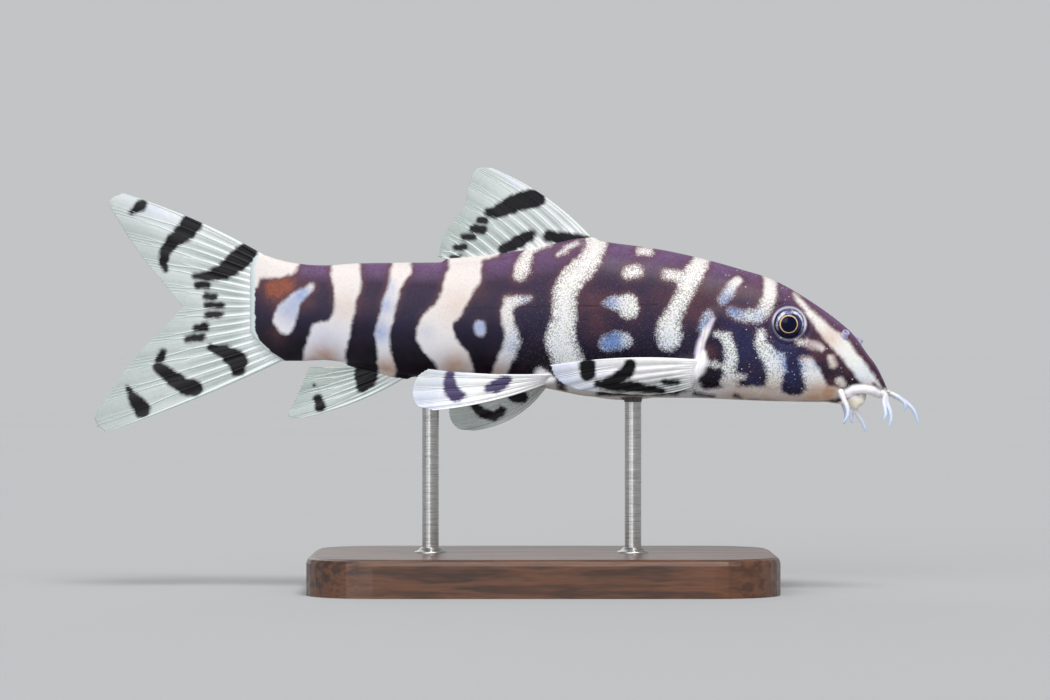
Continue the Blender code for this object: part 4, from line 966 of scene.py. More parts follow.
def in_markings(points):
    """(x, z) of each point in the markings, which the far side has shifted along and down."""
    y = points[:, 1]
    x, z = as_seen(folded(points) * (1, -1, 1)).T
    rng = np.random.default_rng(FAR_SEED)
    phase = rng.uniform(0, 2 * math.pi, 4)
    back = section(x)[0]
    down = ease((back - z - 0.8) / 4.5) * (y > 0) * (1 - 0.75 * ease((x - 27) / 8))
    shift = 1.0 * np.sin(0.33 * x + phase[0]) + 0.6 * np.sin(0.81 * x + 0.35 * z + phase[1])
    drop = 0.5 * np.sin(0.47 * x + phase[2]) + 0.25 * np.sin(0.9 * x - 0.3 * z + phase[3])
    return np.stack((x + down * shift, z + down * drop), 1)


def mark_skin(piece, points):
    """Stores on the skin what its colours follow."""
    flat = in_markings(points)
    x, y, z = points.T
    back, belly, half, middle = section(x)[:4]
    side = folded(points)
    lip = np.minimum(to_stroke(side, PALE_LIP), to_ball(side, *PALE_CHIN))
    under = np.clip((middle - z) / (middle - belly), 0, 1)
    away = np.hypot(x - EYE_X, z - EYE_Z)
    # lit fades the pale eye rim from its top towards its lower side: a painted highlight above and
    # painted shade below.
    lit = 0.15 + 0.85 * ease((z - EYE_Z + 1.0 + 0.2 * (x - EYE_X)) / 1.6)
    line = abs(z - (1.73 + 0.02 * (x - 6)))
    notes = {
        "light": np.minimum(inside_strokes(flat, LIGHT_MARKS.values()),
                            -inside_strokes(flat, DARK_MARKS.values())),
        "height": np.maximum((z - belly) / (back - belly), 0.9 * ease((x - 49.6) / 0.9)),
        "under": under * (1 - np.clip(abs(y) / half, 0, 1)) * (z < middle),
        "blue": wash(flat, BLUE_WASHES),
        "warm": wash(flat, WARM_WASHES),
        "rust": wash(flat, RUST_WASHES),
        "lip": ease(1 - lip / 0.5),
        "slit": bell(to_stroke(side, MOUTH_LINE), 0.2),
        "gill": ease(0.5 - to_stroke(flat, GILL_STREAK) / 0.5),
        "root": ease(inside_strokes(flat, FIN_ROOTS) / 0.7 + 0.5),
        "rim": bell(away - 2.12, 0.19) * lit,
        # socket: the dark membrane round the eyeball, darkened further as painted shade in the
        # recess.
        "socket": ease((1.98 - away) / 0.1),
        "line": line + 3 * ease((-9 - x) / 3) + 3 * ease((x - 20) / 3),
        "speckle": ease((x + 2.5) / 6),
        "head": ease((x - 27) / 4),
        "snout": ease((x - 38.5) / 3),
        "front": ease((x + 4) / 12),
        "chin": ease(1 - to_ball(side, *YELLOW_CHIN) / 0.5),
        "end": np.clip((TAIL_X + tail_edge(z) + 0.75 - x) / 0.9, 0, 1),
    }
    for name, values in notes.items():
        note(piece, name, values)


def skin_finish(look):
    """The skin: purple-brown ground, cream bars and spots stippled at their edges."""
    f = Finish("loach_skin")
    height, speckle, head, snout = map(f.read, ("height", "speckle", "head", "snout"))
    powder, mouth, socket_shade = tone(178, 160, 156), tone(120, 84, 84), tone(44, 42, 70)

    rust = f.times(f.read("rust"), f.span(f.noise(1.1, 3.0, 0.7), 0.2, 0.6, 0.4, 1.0))
    # The ground runs from near-black low on the side to pale purple along the back: partly the
    # fish's own colour, with painted shade deepening it low down and a painted sheen paling it
    # along the back.
    ground = f.over(
        f.ramp(height, ((0.0, look.low), (0.2, look.low), (0.5, look.flank),
                        (0.8, look.upper), (0.96, look.back), (1.0, look.back))),
        (f.span(f.noise(1.8, 3.0, 0.6), 0.35, 0.7, 0.0, 0.3), look.upper),
        (f.times(rust, 0.8, clamp=True), look.rust),
        (f.span(rust, 0.85, 1.6), look.orange),
        (f.times(head, f.span(height, 0.9, 0.55), f.span(f.noise(2.2), 0.35, 0.6, 0.25, 0.85),
                 f.less(1.0, snout)), look.navy),
        (f.span(f.noise(0.26, 2.0, 0.6), 0.5, 0.72, 0.0, 0.5), look.low),
        (f.times(f.span(f.cells(0.3), 0.3, 0.12, 0.0, 0.4), speckle), look.back),
        (f.times(f.span(f.cells(0.6), 0.2, 0.12), head, f.span(f.noise(1.4), 0.48, 0.6), 0.6),
         look.lips),
    )

    cream = f.times(f.span(speckle, 0.0, 1.0, 0.85, 0.0), f.span(height, 0.15, 0.5))
    grains = f.node("ShaderNodeSeparateColor", {0: f.cells(0.4, "Color")})[0]
    light = f.over(
        f.mix(f.span(height, 0.3, 0.85), look.light_low, look.light),
        (cream, look.cream),
        (f.times(cream, f.span(f.noise(0.3, 2.0, 0.6), 0.5, 0.75, 0.0, 0.35)), powder),
        (f.times(f.span(grains, 0.35, 1.0, 0.0, 0.5), speckle,
                 f.span(height, 0.7, 0.95, 1.0, 0.2)), look.green),
        (f.times(f.read("warm"), f.span(f.noise(1.3), 0.25, 0.6, 0.6, 1.0)), look.warm),
        (f.times(f.read("blue"), f.span(f.noise(0.7, 2.0, 0.6), 0.25, 0.6, 0.7, 1.0)), look.blue),
    )

    # The marks' edges wander and fray, with grains of ground inside and of light skin outside
    calm = f.math("MAXIMUM", snout, f.times(head, f.span(height, 0.74, 0.88, 0.0, 0.8)))
    wander = f.span(f.noise(1.3, 2.0, 0.5), 0.0, 1.0, -0.34, 0.34)
    frayed = f.times(f.span(f.noise(0.32, 2.0, 0.6), 0.0, 1.0, -0.3, 0.3),
                     f.span(speckle, 0.0, 1.0, 0.4, 1.0), f.span(calm, 0.0, 1.0, 1.0, 0.45))
    edge = f.plus(f.read("light"), wander, frayed)
    limit = f.less(f.span(edge, 0.0, 1.5, 0.6, 0.36), f.span(height, 0.8, 1.0, 0.0, 0.12))
    inner = f.times(f.span(f.less(limit, f.cells(0.23)), -0.05, 0.08),
                    f.times(speckle, f.span(edge, 0.1, 1.1, 0.72, 0.42)),
                    f.span(calm, 0.0, 1.0, 1.0, 0.18), f.span(height, 0.06, 0.2, 0.15, 1.0))
    limit = f.span(edge, -0.62, -0.05, 0.0, 0.42)
    outer = f.times(f.span(f.less(limit, f.cells(0.2)), 0.0, 0.06), f.times(speckle, 0.5),
                    f.span(calm, 0.0, 1.0, 1.0, 0.3))
    mask = f.times(f.span(edge, -0.32, 0.38, smooth=True), f.less(1.0, inner))
    mask = f.math("MAXIMUM", mask, outer)
    ground = f.over(
        ground,
        (f.times(f.span(edge, -1.0, -0.1, 0.0, 0.6), f.span(height, 0.4, 0.7)), look.rust),
        (f.span(f.read("line"), 0.05, 0.16, 0.7, 0.0), look.low),
    )

    lilac = f.mix(f.span(f.noise(1.6), 0.35, 0.65), tone(204, 194, 228), look.lips)
    pale = f.mix(f.span(f.noise(0.6), 0.35, 0.7), look.lips, tone(236, 232, 240))
    streaks = f.span(f.noise(0.6, 2.0, 0.5, (0.05, 0.3, 1.0)), 0.3, 0.7, -0.12, 0.12)
    colour = f.over(
        f.mix(mask, ground, light),
        (f.times(f.span(f.read("under"), 0.62, 0.85, smooth=True), f.read("front"), 0.9),
         look.belly),
        # Pale eye rim: the skin's own pale ring, made a painted highlight along its top by lit.
        (f.times(f.read("rim"), 0.85), look.rim),
        (f.times(f.read("gill"), 0.85), lilac),
        (f.times(f.read("root"), 0.96), look.arm),
        (f.times(f.read("lip"), 0.92), pale),
        (f.times(f.read("chin"), 0.75), look.chin),
        (f.times(f.read("slit"), 0.8), mouth),
        # Dark membrane round the eyeball, with painted shade in the recess.
        (f.read("socket"), socket_shade),
        (f.span(f.plus(f.read("end"), streaks), 0.72, 0.92), tone(196, 206, 208)),
    )
    f.bump(f.plus(f.times(f.cells(0.3), 0.6), f.noise(0.1)), 0.02, 0.45)
    return f.set(Base_Color=colour, Roughness=f.span(f.noise(0.5), 0.3, 0.7, 0.4, 0.52),
                 Coat_Weight=0.06, Coat_Roughness=0.2, Specular_IOR_Level=0.17)


class SkinLook(bpy.types.PropertyGroup):
    """Sizes and colours of the skin."""

    sides: bpy.props.IntProperty(
        name="Sides", description="Points round the body in each ring of the skin",
        default=264, min=48, max=400)
    # The back's own purple, with a painted sheen along the top.
    back: shade("Back", "Ground colour along the back", (112, 84, 120))
    upper: shade("Upper side", "Ground colour high on the side", (50, 32, 58))
    flank: shade("Flank", "Ground colour halfway down the side", (25, 21, 50))
    # The low side's own dark colour, deepened by painted shade.
    low: shade("Low", "Ground colour near the belly", (8, 6, 16))
    rust: shade("Rust", "Red-brown beside some of the bars", (90, 54, 58))
    orange: shade("Orange", "Orange-brown above the root of the tail", (134, 72, 52))
    light: shade("Light", "Bars and spots high on the side", (226, 220, 218))
    light_low: shade("Light below", "Bars and spots low on the side", (222, 223, 230))
    cream: shade("Cream", "Bars and spots from the dorsal fin to the tail", (217, 209, 206))
    green: shade("Green tint", "Pale green grains in the bars", (206, 220, 194))
    blue: shade("Blue tint", "Blue of some spots", (112, 140, 192))
    warm: shade("Warm tint", "Tan at the foot of the bars", (190, 152, 126))
    belly: shade("Belly", "Middle of the underside", (206, 184, 158))
    lips: shade("Lips", "Lips, gill edge and fin roots", (248, 243, 242))
    chin: shade("Chin", "Yellowish lobes of the lower lip", (246, 238, 214))
    # The rim's pale colour, faded below by lit into a painted highlight along the top.
    rim: shade("Eye rims", "Raised skin round each eye", (236, 230, 248))
    navy: shade("Navy", "Blue cast of the dark ground on the cheek", (34, 38, 78))
    arm: shade("Fin roots", "White flesh the paired fins grow from", (248, 246, 250))


class LOACH_OT_skin(bpy.types.Operator):
    """Make the skin, one closed form from the snout to the root of the tail fin"""

    bl_idname = "loach.skin"
    bl_label = "Skin"

    def execute(self, context):
        look = context.scene.loach_skin
        sides = look.sides
        rings = [skin_ring(station, sides) for station in skin_stations()]
        rear, front = closing_rings(rings[0], *TAIL_END), closing_rings(rings[-1], *SNOUT_END)
        grid = np.array(rear[::-1] + rings + front)
        around = np.roll(grid, -1, axis=1) - np.roll(grid, 1, axis=1)
        normal = np.cross(around, np.gradient(grid, axis=0))
        normal /= np.linalg.norm(normal, axis=2, keepdims=True) + 1e-12
        points, normals = grid.reshape(-1, 3), normal.reshape(-1, 3)
        if np.median(np.einsum("ij,ij->i", normals, points * (0, 1, 1))) < 0:
            normals = -normals
        shaped = points + normals * raised(points, normals)[:, None]
        shaped = shaped + normals * skin_relief(shaped)[:, None]
        ends = (shaped[:sides].mean(0), shaped[-sides:].mean(0))
        shaped = np.concatenate((shaped, ends))
        piece = make_piece("skin", placed(shaped), ringed_faces(len(grid), sides),
                           skin_finish(look))
        mark_skin(piece, shaped)
        settle(piece, "skin", "head", "torso", "tail")
        return {"FINISHED"}


class LOACH_OT_nostrils(bpy.types.Operator):
    """Make the short tube of each nostril"""

    bl_idname = "loach.nostrils"
    bl_label = "Nostrils"

    def execute(self, context):
        f = Finish("nostril_skin")
        colour = f.mix(f.span(f.noise(0.4), 0.3, 0.7), tone(146, 138, 176), tone(196, 190, 218))
        f.bump(f.noise(0.15), 0.01, 0.5)
        finish = f.set(Base_Color=colour, Roughness=0.35, Coat_Weight=0.3, Coat_Roughness=0.1)
        for name, (side, (x, z), way, size) in NOSTRILS.items():
            points, faces = turned_shape(NOSTRIL_PROFILE, NOSTRIL_SIDES)
            root = np.array((x, side * (float(skin_half_width(x, z)) - NOSTRIL_SINK), z))
            lean = Vector(np.array(way) * (1, side, 1)).normalized()
            turn = np.array(Vector((0, 0, 1)).rotation_difference(lean).to_matrix())
            piece = make_piece(name, placed(root + points * size @ turn.T), faces, finish)
            settle(piece, "skin")
        return {"FINISHED"}


# The eyes


class EyeLook(bpy.types.PropertyGroup):
    """Sizes and colours of the eyes."""

    pupil: number("Pupil", "Radius of the pupil", unit="LENGTH", default=1.04 * MM)
    pupil_colour: shade("Pupil colour", "Blue-black of the pupil", (2, 6, 40))
    ring: shade("Gold ring", "Thin ring round the pupil", (246, 212, 160))
    iris: shade("Iris", "Dark blue of the iris", (44, 54, 98))
    # A painted highlight near the iris's upper edge.
    sheen: shade("Iris sheen", "Pale blue toward the iris's upper edge", (216, 220, 236))


def eye_finish(look):
    """Wet eye: blue-black pupil, thin gold ring, dark blue iris with painted shade below and a
    painted highlight near its upper rim.
    """
    f = Finish("loach_eye")
    pupil = look.pupil / MM
    away = f.plus(f.read("away"), f.span(f.noise(0.6), 0.0, 1.0, -0.05, 0.05))
    out, above = f.read("out"), f.read("above")
    streak = f.noise(0.22, 3.0, 0.7)
    iris = f.over(
        # The iris darkens towards its lower side: painted shade.
        f.mix(f.span(above, -0.6, 1.3), tone(14, 15, 30), look.iris),
        (f.span(streak, 0.4, 0.75, 0.0, 0.6), tone(64, 72, 116)),
        (f.span(away, pupil + 0.2, pupil + 0.42, 0.75, 0.0), tone(10, 12, 30)),
        # A painted highlight in pale blue near the iris's upper rim.
        (f.times(f.span(out, 1.56, 1.68), f.span(out, 1.94, 1.86),
                 f.span(above, -1.4, 0.0, 0.05, 1.0),
                 f.span(f.noise(0.9, 3.0, 0.7), 0.42, 0.58, 0.15, 1.0)), look.sheen),
    )
    gold = f.mix(f.span(streak, 0.3, 0.75), look.ring, tone(202, 148, 108))
    colour = f.mix(f.span(away, pupil + 0.13, pupil + 0.19), gold, iris)
    colour = f.mix(f.span(away, pupil, pupil + 0.05), look.pupil_colour, colour)
    return f.set(Base_Color=colour, Roughness=0.3, Coat_Weight=0.22, Coat_Roughness=0.02,
                 Specular_IOR_Level=0.06)


class LOACH_OT_eyes(bpy.types.Operator):
    """Make both eyeballs, with a low bulge over the pupil"""

    bl_idname = "loach.eyes"
    bl_label = "Eyes"

    def execute(self, context):
        finish = eye_finish(context.scene.loach_eye)
        profile = []
        for turn in (math.pi * k / EYE_RINGS for k in range(EYE_RINGS + 1)):
            r, h = EYE_RADIUS * math.sin(turn), -EYE_DEPTH * math.cos(turn)
            bulge = EYE_BULGE * math.exp(-((r / EYE_BULGE_WIDTH) ** 2)) if h > 0 else 0
            profile.append((r, h + bulge))
        for name, side in (("eye_right", -1), ("eye_left", 1)):
            points, faces = turned_shape(profile, EYE_SIDES)
            local = points[:, (0, 2, 1)] * (1, side, 1)
            reach = float(skin_half_width(EYE_X, EYE_Z)) - EYE_SINK
            turn = np.array(Euler((-side * EYE_PITCH, 0, -side * EYE_YAW)).to_matrix())
            world = posed(np.array((EYE_X, side * reach, EYE_Z))) + local @ turn.T
            world[:, 2] += LIFT
            piece = make_piece(name, world * MM, faces, finish)
            aside, up = PUPIL_SHIFT
            note(piece, "away", np.hypot(local[:, 0] - aside, local[:, 2] - up))
            note(piece, "out", np.hypot(local[:, 0], local[:, 2]))
            note(piece, "above", local[:, 2] + 0.3 * local[:, 0])
            settle(piece, "eye", name)
        return {"FINISHED"}


# The fins


class FinLook(bpy.types.PropertyGroup):
    """Sizes and colours of the fins."""

    web: shade("Web", "Grey-green web between the rays", (140, 162, 152))
    milk: shade("Milk", "Milky white where the web is thick", (252, 251, 253))
    ray: shade("Rays", "Whitish rays", (216, 226, 221))
    mark: shade("Marks", "Near-black blotches", (8, 6, 14))
    mark_veiled: shade("Veiled marks", "Purple of blotches under a milky web", (76, 66, 102))
    solidity: number("Web solidity", "How far each face of the web covers what is behind",
                     subtype="FACTOR", default=0.34, min=0, max=1)
    thickness: number("Ray thickness", "Radius of a ray at its foot",
                      unit="LENGTH", default=0.2 * MM)


def blotches(f, look, blur):
    """How dark a fin's blotches are at each point, and their colour."""
    edge = f.plus(f.read("blotch"), f.span(f.noise(0.9, 3.0, 0.6), 0, 1, -0.35, 0.35))
    mark = f.mix(f.read("lilac"), look.mark, look.mark_veiled)
    return f.span(edge, -blur, blur, smooth=True), mark


def web_finish(look):
    """The web of the fins, milky and partly see-through, with blurred dark blotches."""
    f = Finish("fin_web")
    dark, mark = blotches(f, look, 0.32)
    milk, cloud = f.read("milk"), f.noise(1.2, 3.0, 0.6)
    pale = f.over(
        look.web,
        (f.span(cloud, 0.3, 0.7, 0.0, 0.4), tone(176, 190, 186)),
        (f.times(milk, 1.1, clamp=True), look.milk),
        (f.times(f.span(milk, 0.5, 0.7), f.span(f.read("tip"), 0.5, 1.0, 0.0, 0.6)),
         tone(196, 208, 240)),
        (f.times(f.read("gap"), 0.5), tone(104, 122, 124)),
    )
    cover = f.times(f.plus(look.solidity, f.times(milk, 0.62), clamp=True),
                    f.span(cloud, 0.2, 0.8, 0.88, 1.1))
    alpha = f.math("MAXIMUM", cover, f.times(dark, 0.97), clamp=True)
    f.bump(f.noise(0.25, 2.0, 0.6, (0.25, 1.0, 1.0)), 0.02, 0.2)
    return f.set(Base_Color=f.mix(dark, pale, mark), Alpha=alpha, Roughness=0.45,
                 Specular_IOR_Level=0.25)


def ray_finish(look):
    """Fin rays, whitish and finely jointed, dark where a blotch crosses them."""
    f = Finish("fin_rays")
    dark, mark = blotches(f, look, 0.26)
    joint = f.math("FRACT", f.math("DIVIDE", f.read("along"), 0.42))
    joint = f.span(f.math("ABSOLUTE", f.less(joint, 0.5)), 0.4, 0.5)
    pale = f.over(
        look.ray,
        (f.span(f.read("tip"), 0.3, 1.0, 0.0, 0.7), tone(186, 200, 196)),
        (f.times(joint, 0.25), tone(150, 160, 168)),
        (f.span(f.read("milk"), 0.4, 0.9, 0.0, 0.85), look.milk),
    )
    f.bump(f.less(1.0, joint), 0.03, 0.6)
    return f.set(Base_Color=f.mix(dark, pale, mark), Roughness=0.42, Specular_IOR_Level=0.3)


def lean(spec, x, z, length, share, start):
    """How far to the left of the middle plane a fin's points lie. start is each ray's root."""
    if "side" not in spec:
        return (spec.get("sway", 0.0) * np.clip(length, 0, None) ** 2
                + 0.1 * np.sin(9 * share + 4 * length))
    lead, last = spec["out"]
    begin = skin_half_width(start[..., 0], start[..., 1], SIDE_RISE)
    away = np.hypot(x - start[..., 0], z - start[..., 1])
    away = np.where(length < 0, -away, away)
    slope = np.where(length < 0, FOOT_SLOPE, lead + (last - lead) * share)
    return spec["side"] * (begin + slope * away * (1 - 0.012 * away))


def fin_surface(spec):
    """A function that gives points of a fin's middle surface at (share, length)."""
    if "upper edge" in spec:
        return caudal_surface(spec)
    root, edge = curve_through(spec["root"]), curve_through(spec["edge"])

    def surface(share, length):
        a, b = read_curve(root, share), read_curve(edge, share)
        chord = b - a
        square = np.stack((-chord[..., 1], chord[..., 0]), -1)
        square /= np.linalg.norm(square, axis=-1, keepdims=True)
        bow = np.interp(share, np.linspace(0, 1, len(spec["bow"])), spec["bow"])
        t = np.asarray(length)[..., None]
        flat = a + t * chord + (4 * t * (1 - t)) * square * bow[..., None]
        x, z = flat[..., 0], flat[..., 1]
        return np.stack((x, lean(spec, x, z, np.asarray(length), share, a), z), -1)

    return surface


def caudal_surface(spec):
    """The whole tail fin's middle surface, its two lobes joined at the fork."""
    halves = []
    for k, edge in enumerate(("upper edge", "lower edge")):
        z = np.linspace(*CAUDAL_HEIGHTS[k:k + 2], 12)
        halves.append(fin_surface({"root": tuple(zip(TAIL_X + tail_edge(z) - 0.2, z)),
                                   "edge": spec[edge], "bow": spec["bow"][k:k + 2]}))

    def surface(share, length):
        share = np.asarray(share, float)
        upper = halves[0](np.clip(share * 2, 0, 1), length)
        lower = halves[1](np.clip(share * 2 - 1, 0, 1), length)
        whole = np.where((share < 0.5)[..., None], upper, lower)
        sway = np.interp(share, (0, 0.3, 0.5, 0.7, 1), (0.6, 0.6, 0.0, -0.5, -0.5))
        ripple = 0.12 * np.sin(14 * share + 5 * np.asarray(length))
        whole[..., 1] = (sway + ripple) * np.clip(length, 0, None) ** 2
        return whole

    return surface


def milkiness(spec, share):
    """How milky a fin is at each share of the way from its leading ray to its last one."""
    lead, last = spec["milk"]
    return lead + (last - lead) * ease((np.asarray(share) - 0.25) / 0.5)


def rim_of(rows, columns):
    """The points round the border of a grid, in order."""
    rim = list(range(columns)) + [i * columns + columns - 1 for i in range(1, rows)]
    rim += [(rows - 1) * columns + j for j in range(columns - 2, -1, -1)]
    return rim + [i * columns for i in range(rows - 2, 0, -1)]


def fin_web(name, surface, spec, finish):
    """The web of a fin, a thin closed sheet that sags between its rays."""
    gaps, foot = spec["rays"] - 1, spec["foot"]
    share, length = np.linspace(0, 1, gaps * WEB_COLUMNS + 1), np.linspace(-foot, 1, WEB_ROWS)
    shares, lengths = np.meshgrid(share, length)
    wave = np.sin(math.pi * shares * gaps)
    notch = 1 - 0.007 * abs(np.sin(math.pi * shares * gaps * 2)) * ease(lengths)
    grid = surface(shares, lengths * notch)
    across = np.cross(np.gradient(grid, axis=0), np.gradient(grid, axis=1))
    across /= np.linalg.norm(across, axis=2, keepdims=True) + 1e-12
    sag = 0.07 * wave * ease(lengths / 0.2)
    half = np.interp(lengths, (-foot, 0.0, 0.25, 1.0), WEB_HALF)
    half = half * (0.75 + 0.25 * abs(np.cos(math.pi * shares * gaps)))
    half += spec.get("flesh", 0.0) * ease((0.6 - lengths) / 0.35) * ease((0.8 - shares) / 0.3)
    top, low = (grid + across * (sag + k * half)[..., None] for k in (1, -1))
    rows, columns = shares.shape
    size = rows * columns
    faces = grid_faces(rows, columns)
    faces += [tuple(size + v for v in reversed(face)) for face in faces]
    rim = rim_of(rows, columns)
    for a, b in zip(rim, rim[1:] + rim[:1]):
        faces.append((a, b, size + b, size + a))
    points = np.concatenate((top.reshape(-1, 3), low.reshape(-1, 3)))
    piece = make_piece(name, placed(points), faces, finish)
    thick = milkiness(spec, shares)
    milk = thick + 0.3 * ease(1 - shares * 6)
    milk = milk * (1 - 0.3 * ease((lengths - 0.6) / 0.4)) + 0.45 * ease(1 - lengths / 0.22)
    gap = ease((abs(wave) - 0.8) / 0.2) * (1 - ease((lengths - 0.25) / 0.45))
    gap *= 1 - 0.85 * ease((thick - 0.5) / 0.4)
    for key, values in (("milk", np.clip(milk, 0, 1)), ("gap", gap), ("tip", lengths)):
        note(piece, key, np.tile(values.reshape(-1), 2))
    mark_fin(piece, points, spec, 0.0)
    return piece


def mark_fin(piece, points, spec, clear):
    """Stores on a piece of a fin how deep each point lies in the fin's dark marks."""
    note(piece, "blotch", inside_strokes(as_seen(points), spec["marks"]) - clear)
    note(piece, "lilac", np.full(len(points), spec.get("lilac", 0.0)))


def ray_paths(surface, spec):
    """Paths of a fin's rays, each parting in two and in two again, with their girths."""
    rays, foot = spec["rays"], spec["foot"]
    points, edges = [], []
    notes = {name: [] for name in ("girth", "along", "tip", "milk")}
    spacing = 1 / (rays - 1)
    for k in range(rays):
        middle = k * spacing
        whole = np.linalg.norm(surface(np.array(middle), np.array(1.0))
                               - surface(np.array(middle), np.array(0.0)))
        single = k == 0 or k == rays - 1 and len(spec["bow"]) == 3
        first = FIRST_PARTING + 0.04 * math.sin(3 * k)
        second = SECOND_PARTING + 0.04 * math.cos(5 * k)
        if single:
            taper = (-foot, 0.02, 0.5, 1.0), SINGLE_GIRTH
            strands = [((0.0, 0.0), -foot, 1.0)]
        else:
            taper = (-foot, 0.02, first, first + 0.02, second, second + 0.02, 1.0), RAY_GIRTH
            strands = [((0.0, 0.0), -foot, first + 0.01)]
            strands += [((s, 0.0), first, second + 0.01) for s in (-1, 1)]
            strands += [((s, q), second, RAY_END) for s in (-1, 1) for q in (-1, 1)]
        for (outer, inner), start, end in strands:
            t = np.linspace(start, end, max(6, int(RAY_POINTS * (end - start))))
            share = middle + spacing * (
                0.25 * outer * ease((t - first) / 0.3) + 0.125 * inner * ease((t - second) / 0.2)
            )
            line = surface(np.clip(share, 0, 1), t)
            base = len(points)
            points += line.tolist()
            edges += [(base + i, base + i + 1) for i in range(len(line) - 1)]
            steps = np.linalg.norm(np.diff(line, axis=0), axis=1)
            notes["girth"] += np.interp(t, *taper).tolist()
            notes["along"] += (start * whole + np.concatenate(((0,), np.cumsum(steps)))).tolist()
            notes["tip"] += np.clip(t, 0, 1).tolist()
            notes["milk"] += milkiness(spec, share).tolist()
    return points, edges, notes


def make_fin(context, name):
    """One fin: its web, and its rays grown along their paths."""
    look, spec = context.scene.loach_fin, FINS[name]
    web_look = bpy.data.materials.get("fin_web") or web_finish(look)
    ray_look = bpy.data.materials.get("fin_rays") or ray_finish(look)
    surface = fin_surface(spec)
    web = fin_web(f"{name}_web", surface, spec, web_look)
    settle(web, "fin", *spec.get("nodes", (name,)))
    points, edges, notes = ray_paths(surface, spec)
    notes["girth"] = np.array(notes["girth"]) * spec.get("girth", 1.0)
    rays = grown(f"{name}_rays", placed(points), edges, notes, SWEEP,
                 {"Thickness": look.thickness, "Sides": RAY_SIDES, "Material": ray_look})
    mark_fin(rays, own_points(rays), spec, RAY_CLEAR)
    settle(rays, "fin")


class LOACH_OT_dorsal_fin(bpy.types.Operator):
    """Make the fin of the back"""

    bl_idname = "loach.dorsal_fin"
    bl_label = "Dorsal fin"

    def execute(self, context):
        make_fin(context, "dorsal_fin")
        return {"FINISHED"}


class LOACH_OT_tail_fin(bpy.types.Operator):
    """Make the forked tail fin, whose rays start in the flesh of the tail"""

    bl_idname = "loach.tail_fin"
    bl_label = "Tail fin"

    def execute(self, context):
        make_fin(context, "caudal_fin")
        return {"FINISHED"}


class LOACH_OT_anal_fin(bpy.types.Operator):
    """Make the fin behind the vent"""

    bl_idname = "loach.anal_fin"
    bl_label = "Anal fin"

    def execute(self, context):
        make_fin(context, "anal_fin")
        return {"FINISHED"}


class LOACH_OT_pelvic_fins(bpy.types.Operator):
    """Make the pair of fins at the belly"""

    bl_idname = "loach.pelvic_fins"
    bl_label = "Pelvic fins"

    def execute(self, context):
        make_fin(context, "pelvic_fin_right")
        make_fin(context, "pelvic_fin_left")
        return {"FINISHED"}


class LOACH_OT_pectoral_fins(bpy.types.Operator):
    """Make the pair of fins behind the gills"""

    bl_idname = "loach.pectoral_fins"
    bl_label = "Pectoral fins"

    def execute(self, context):
        make_fin(context, "pectoral_fin_right")
        make_fin(context, "pectoral_fin_left")
        return {"FINISHED"}


# The feelers


class FeelerLook(bpy.types.PropertyGroup):
    """Sizes and colours of the feelers."""

    thickness: number("Thickness", "Radius scale of the feelers", unit="LENGTH", default=MM)
    root: shade("Root", "Whitish root of a feeler", (244, 238, 236))
    tip: shade("Tip", "Pale blue tip of a feeler", (190, 210, 242))


def feeler_finish(look):
    """Feelers, white at the root and pale blue at the tip, finely mottled."""
    f = Finish("feeler_skin")
    share = f.plus(f.read("reach"), f.span(f.noise(0.6), 0, 1, -0.2, 0.2))
    colour = f.mix(f.span(share, 0.15, 0.95), look.root, look.tip)
    colour = f.mix(f.span(f.noise(0.25), 0.55, 0.75, 0, 0.25), colour, tone(190, 178, 186))
    f.bump(f.noise(0.18, 2.0, 0.6), 0.02, 0.5)
    return f.set(Base_Color=colour, Roughness=0.34, Coat_Weight=0.3, Coat_Roughness=0.12,
                 Subsurface_Weight=0.25, Subsurface_Radius=(1.0, 0.7, 0.6),
                 Subsurface_Scale=0.0004)


class LOACH_OT_feelers(bpy.types.Operator):
    """Make the four pairs of feelers round the mouth"""

    bl_idname = "loach.feelers"
    bl_label = "Feelers"

    def execute(self, context):
        look = context.scene.loach_feeler
        finish = feeler_finish(look)
        for name, (side, (x, z, clear), anchor, strands) in FEELERS.items():
            root = np.array((x, side * float(skin_half_width(x, z, clear)), z))
            points, edges = [], []
            for strand in strands:
                steps = [root + np.array(step) * (1, -side, 1) for step in ((0, 0, 0), *strand)]
                base = len(points)
                points += curve_through([np.array(anchor), *steps], FEELER_POINTS).tolist()
                edges += [(base + i, base + i + 1) for i in range(FEELER_POINTS - 1)]
            share = np.tile(np.linspace(0, 1, FEELER_POINTS), len(strands))
            notes = {"girth": np.interp(share, *FEELER_TAPER), "reach": share}
            piece = grown(name, placed(points), edges, notes, SWEEP,
                          {"Thickness": look.thickness, "Sides": FEELER_SIDES, "Material": finish})
            settle(piece, "barbel", name)
        return {"FINISHED"}


# The stand


class StandLook(bpy.types.PropertyGroup):
    """Colours of the display stand."""

    wood: shade("Wood", "Ground colour of the base", (92, 56, 36))
    grain: shade("Grain", "Dark grain of the base", (44, 25, 17))
    collar: number("Collar size", "Scale of the steel collars round the rods' feet",
                   default=1.0, min=0.5, max=1.5)


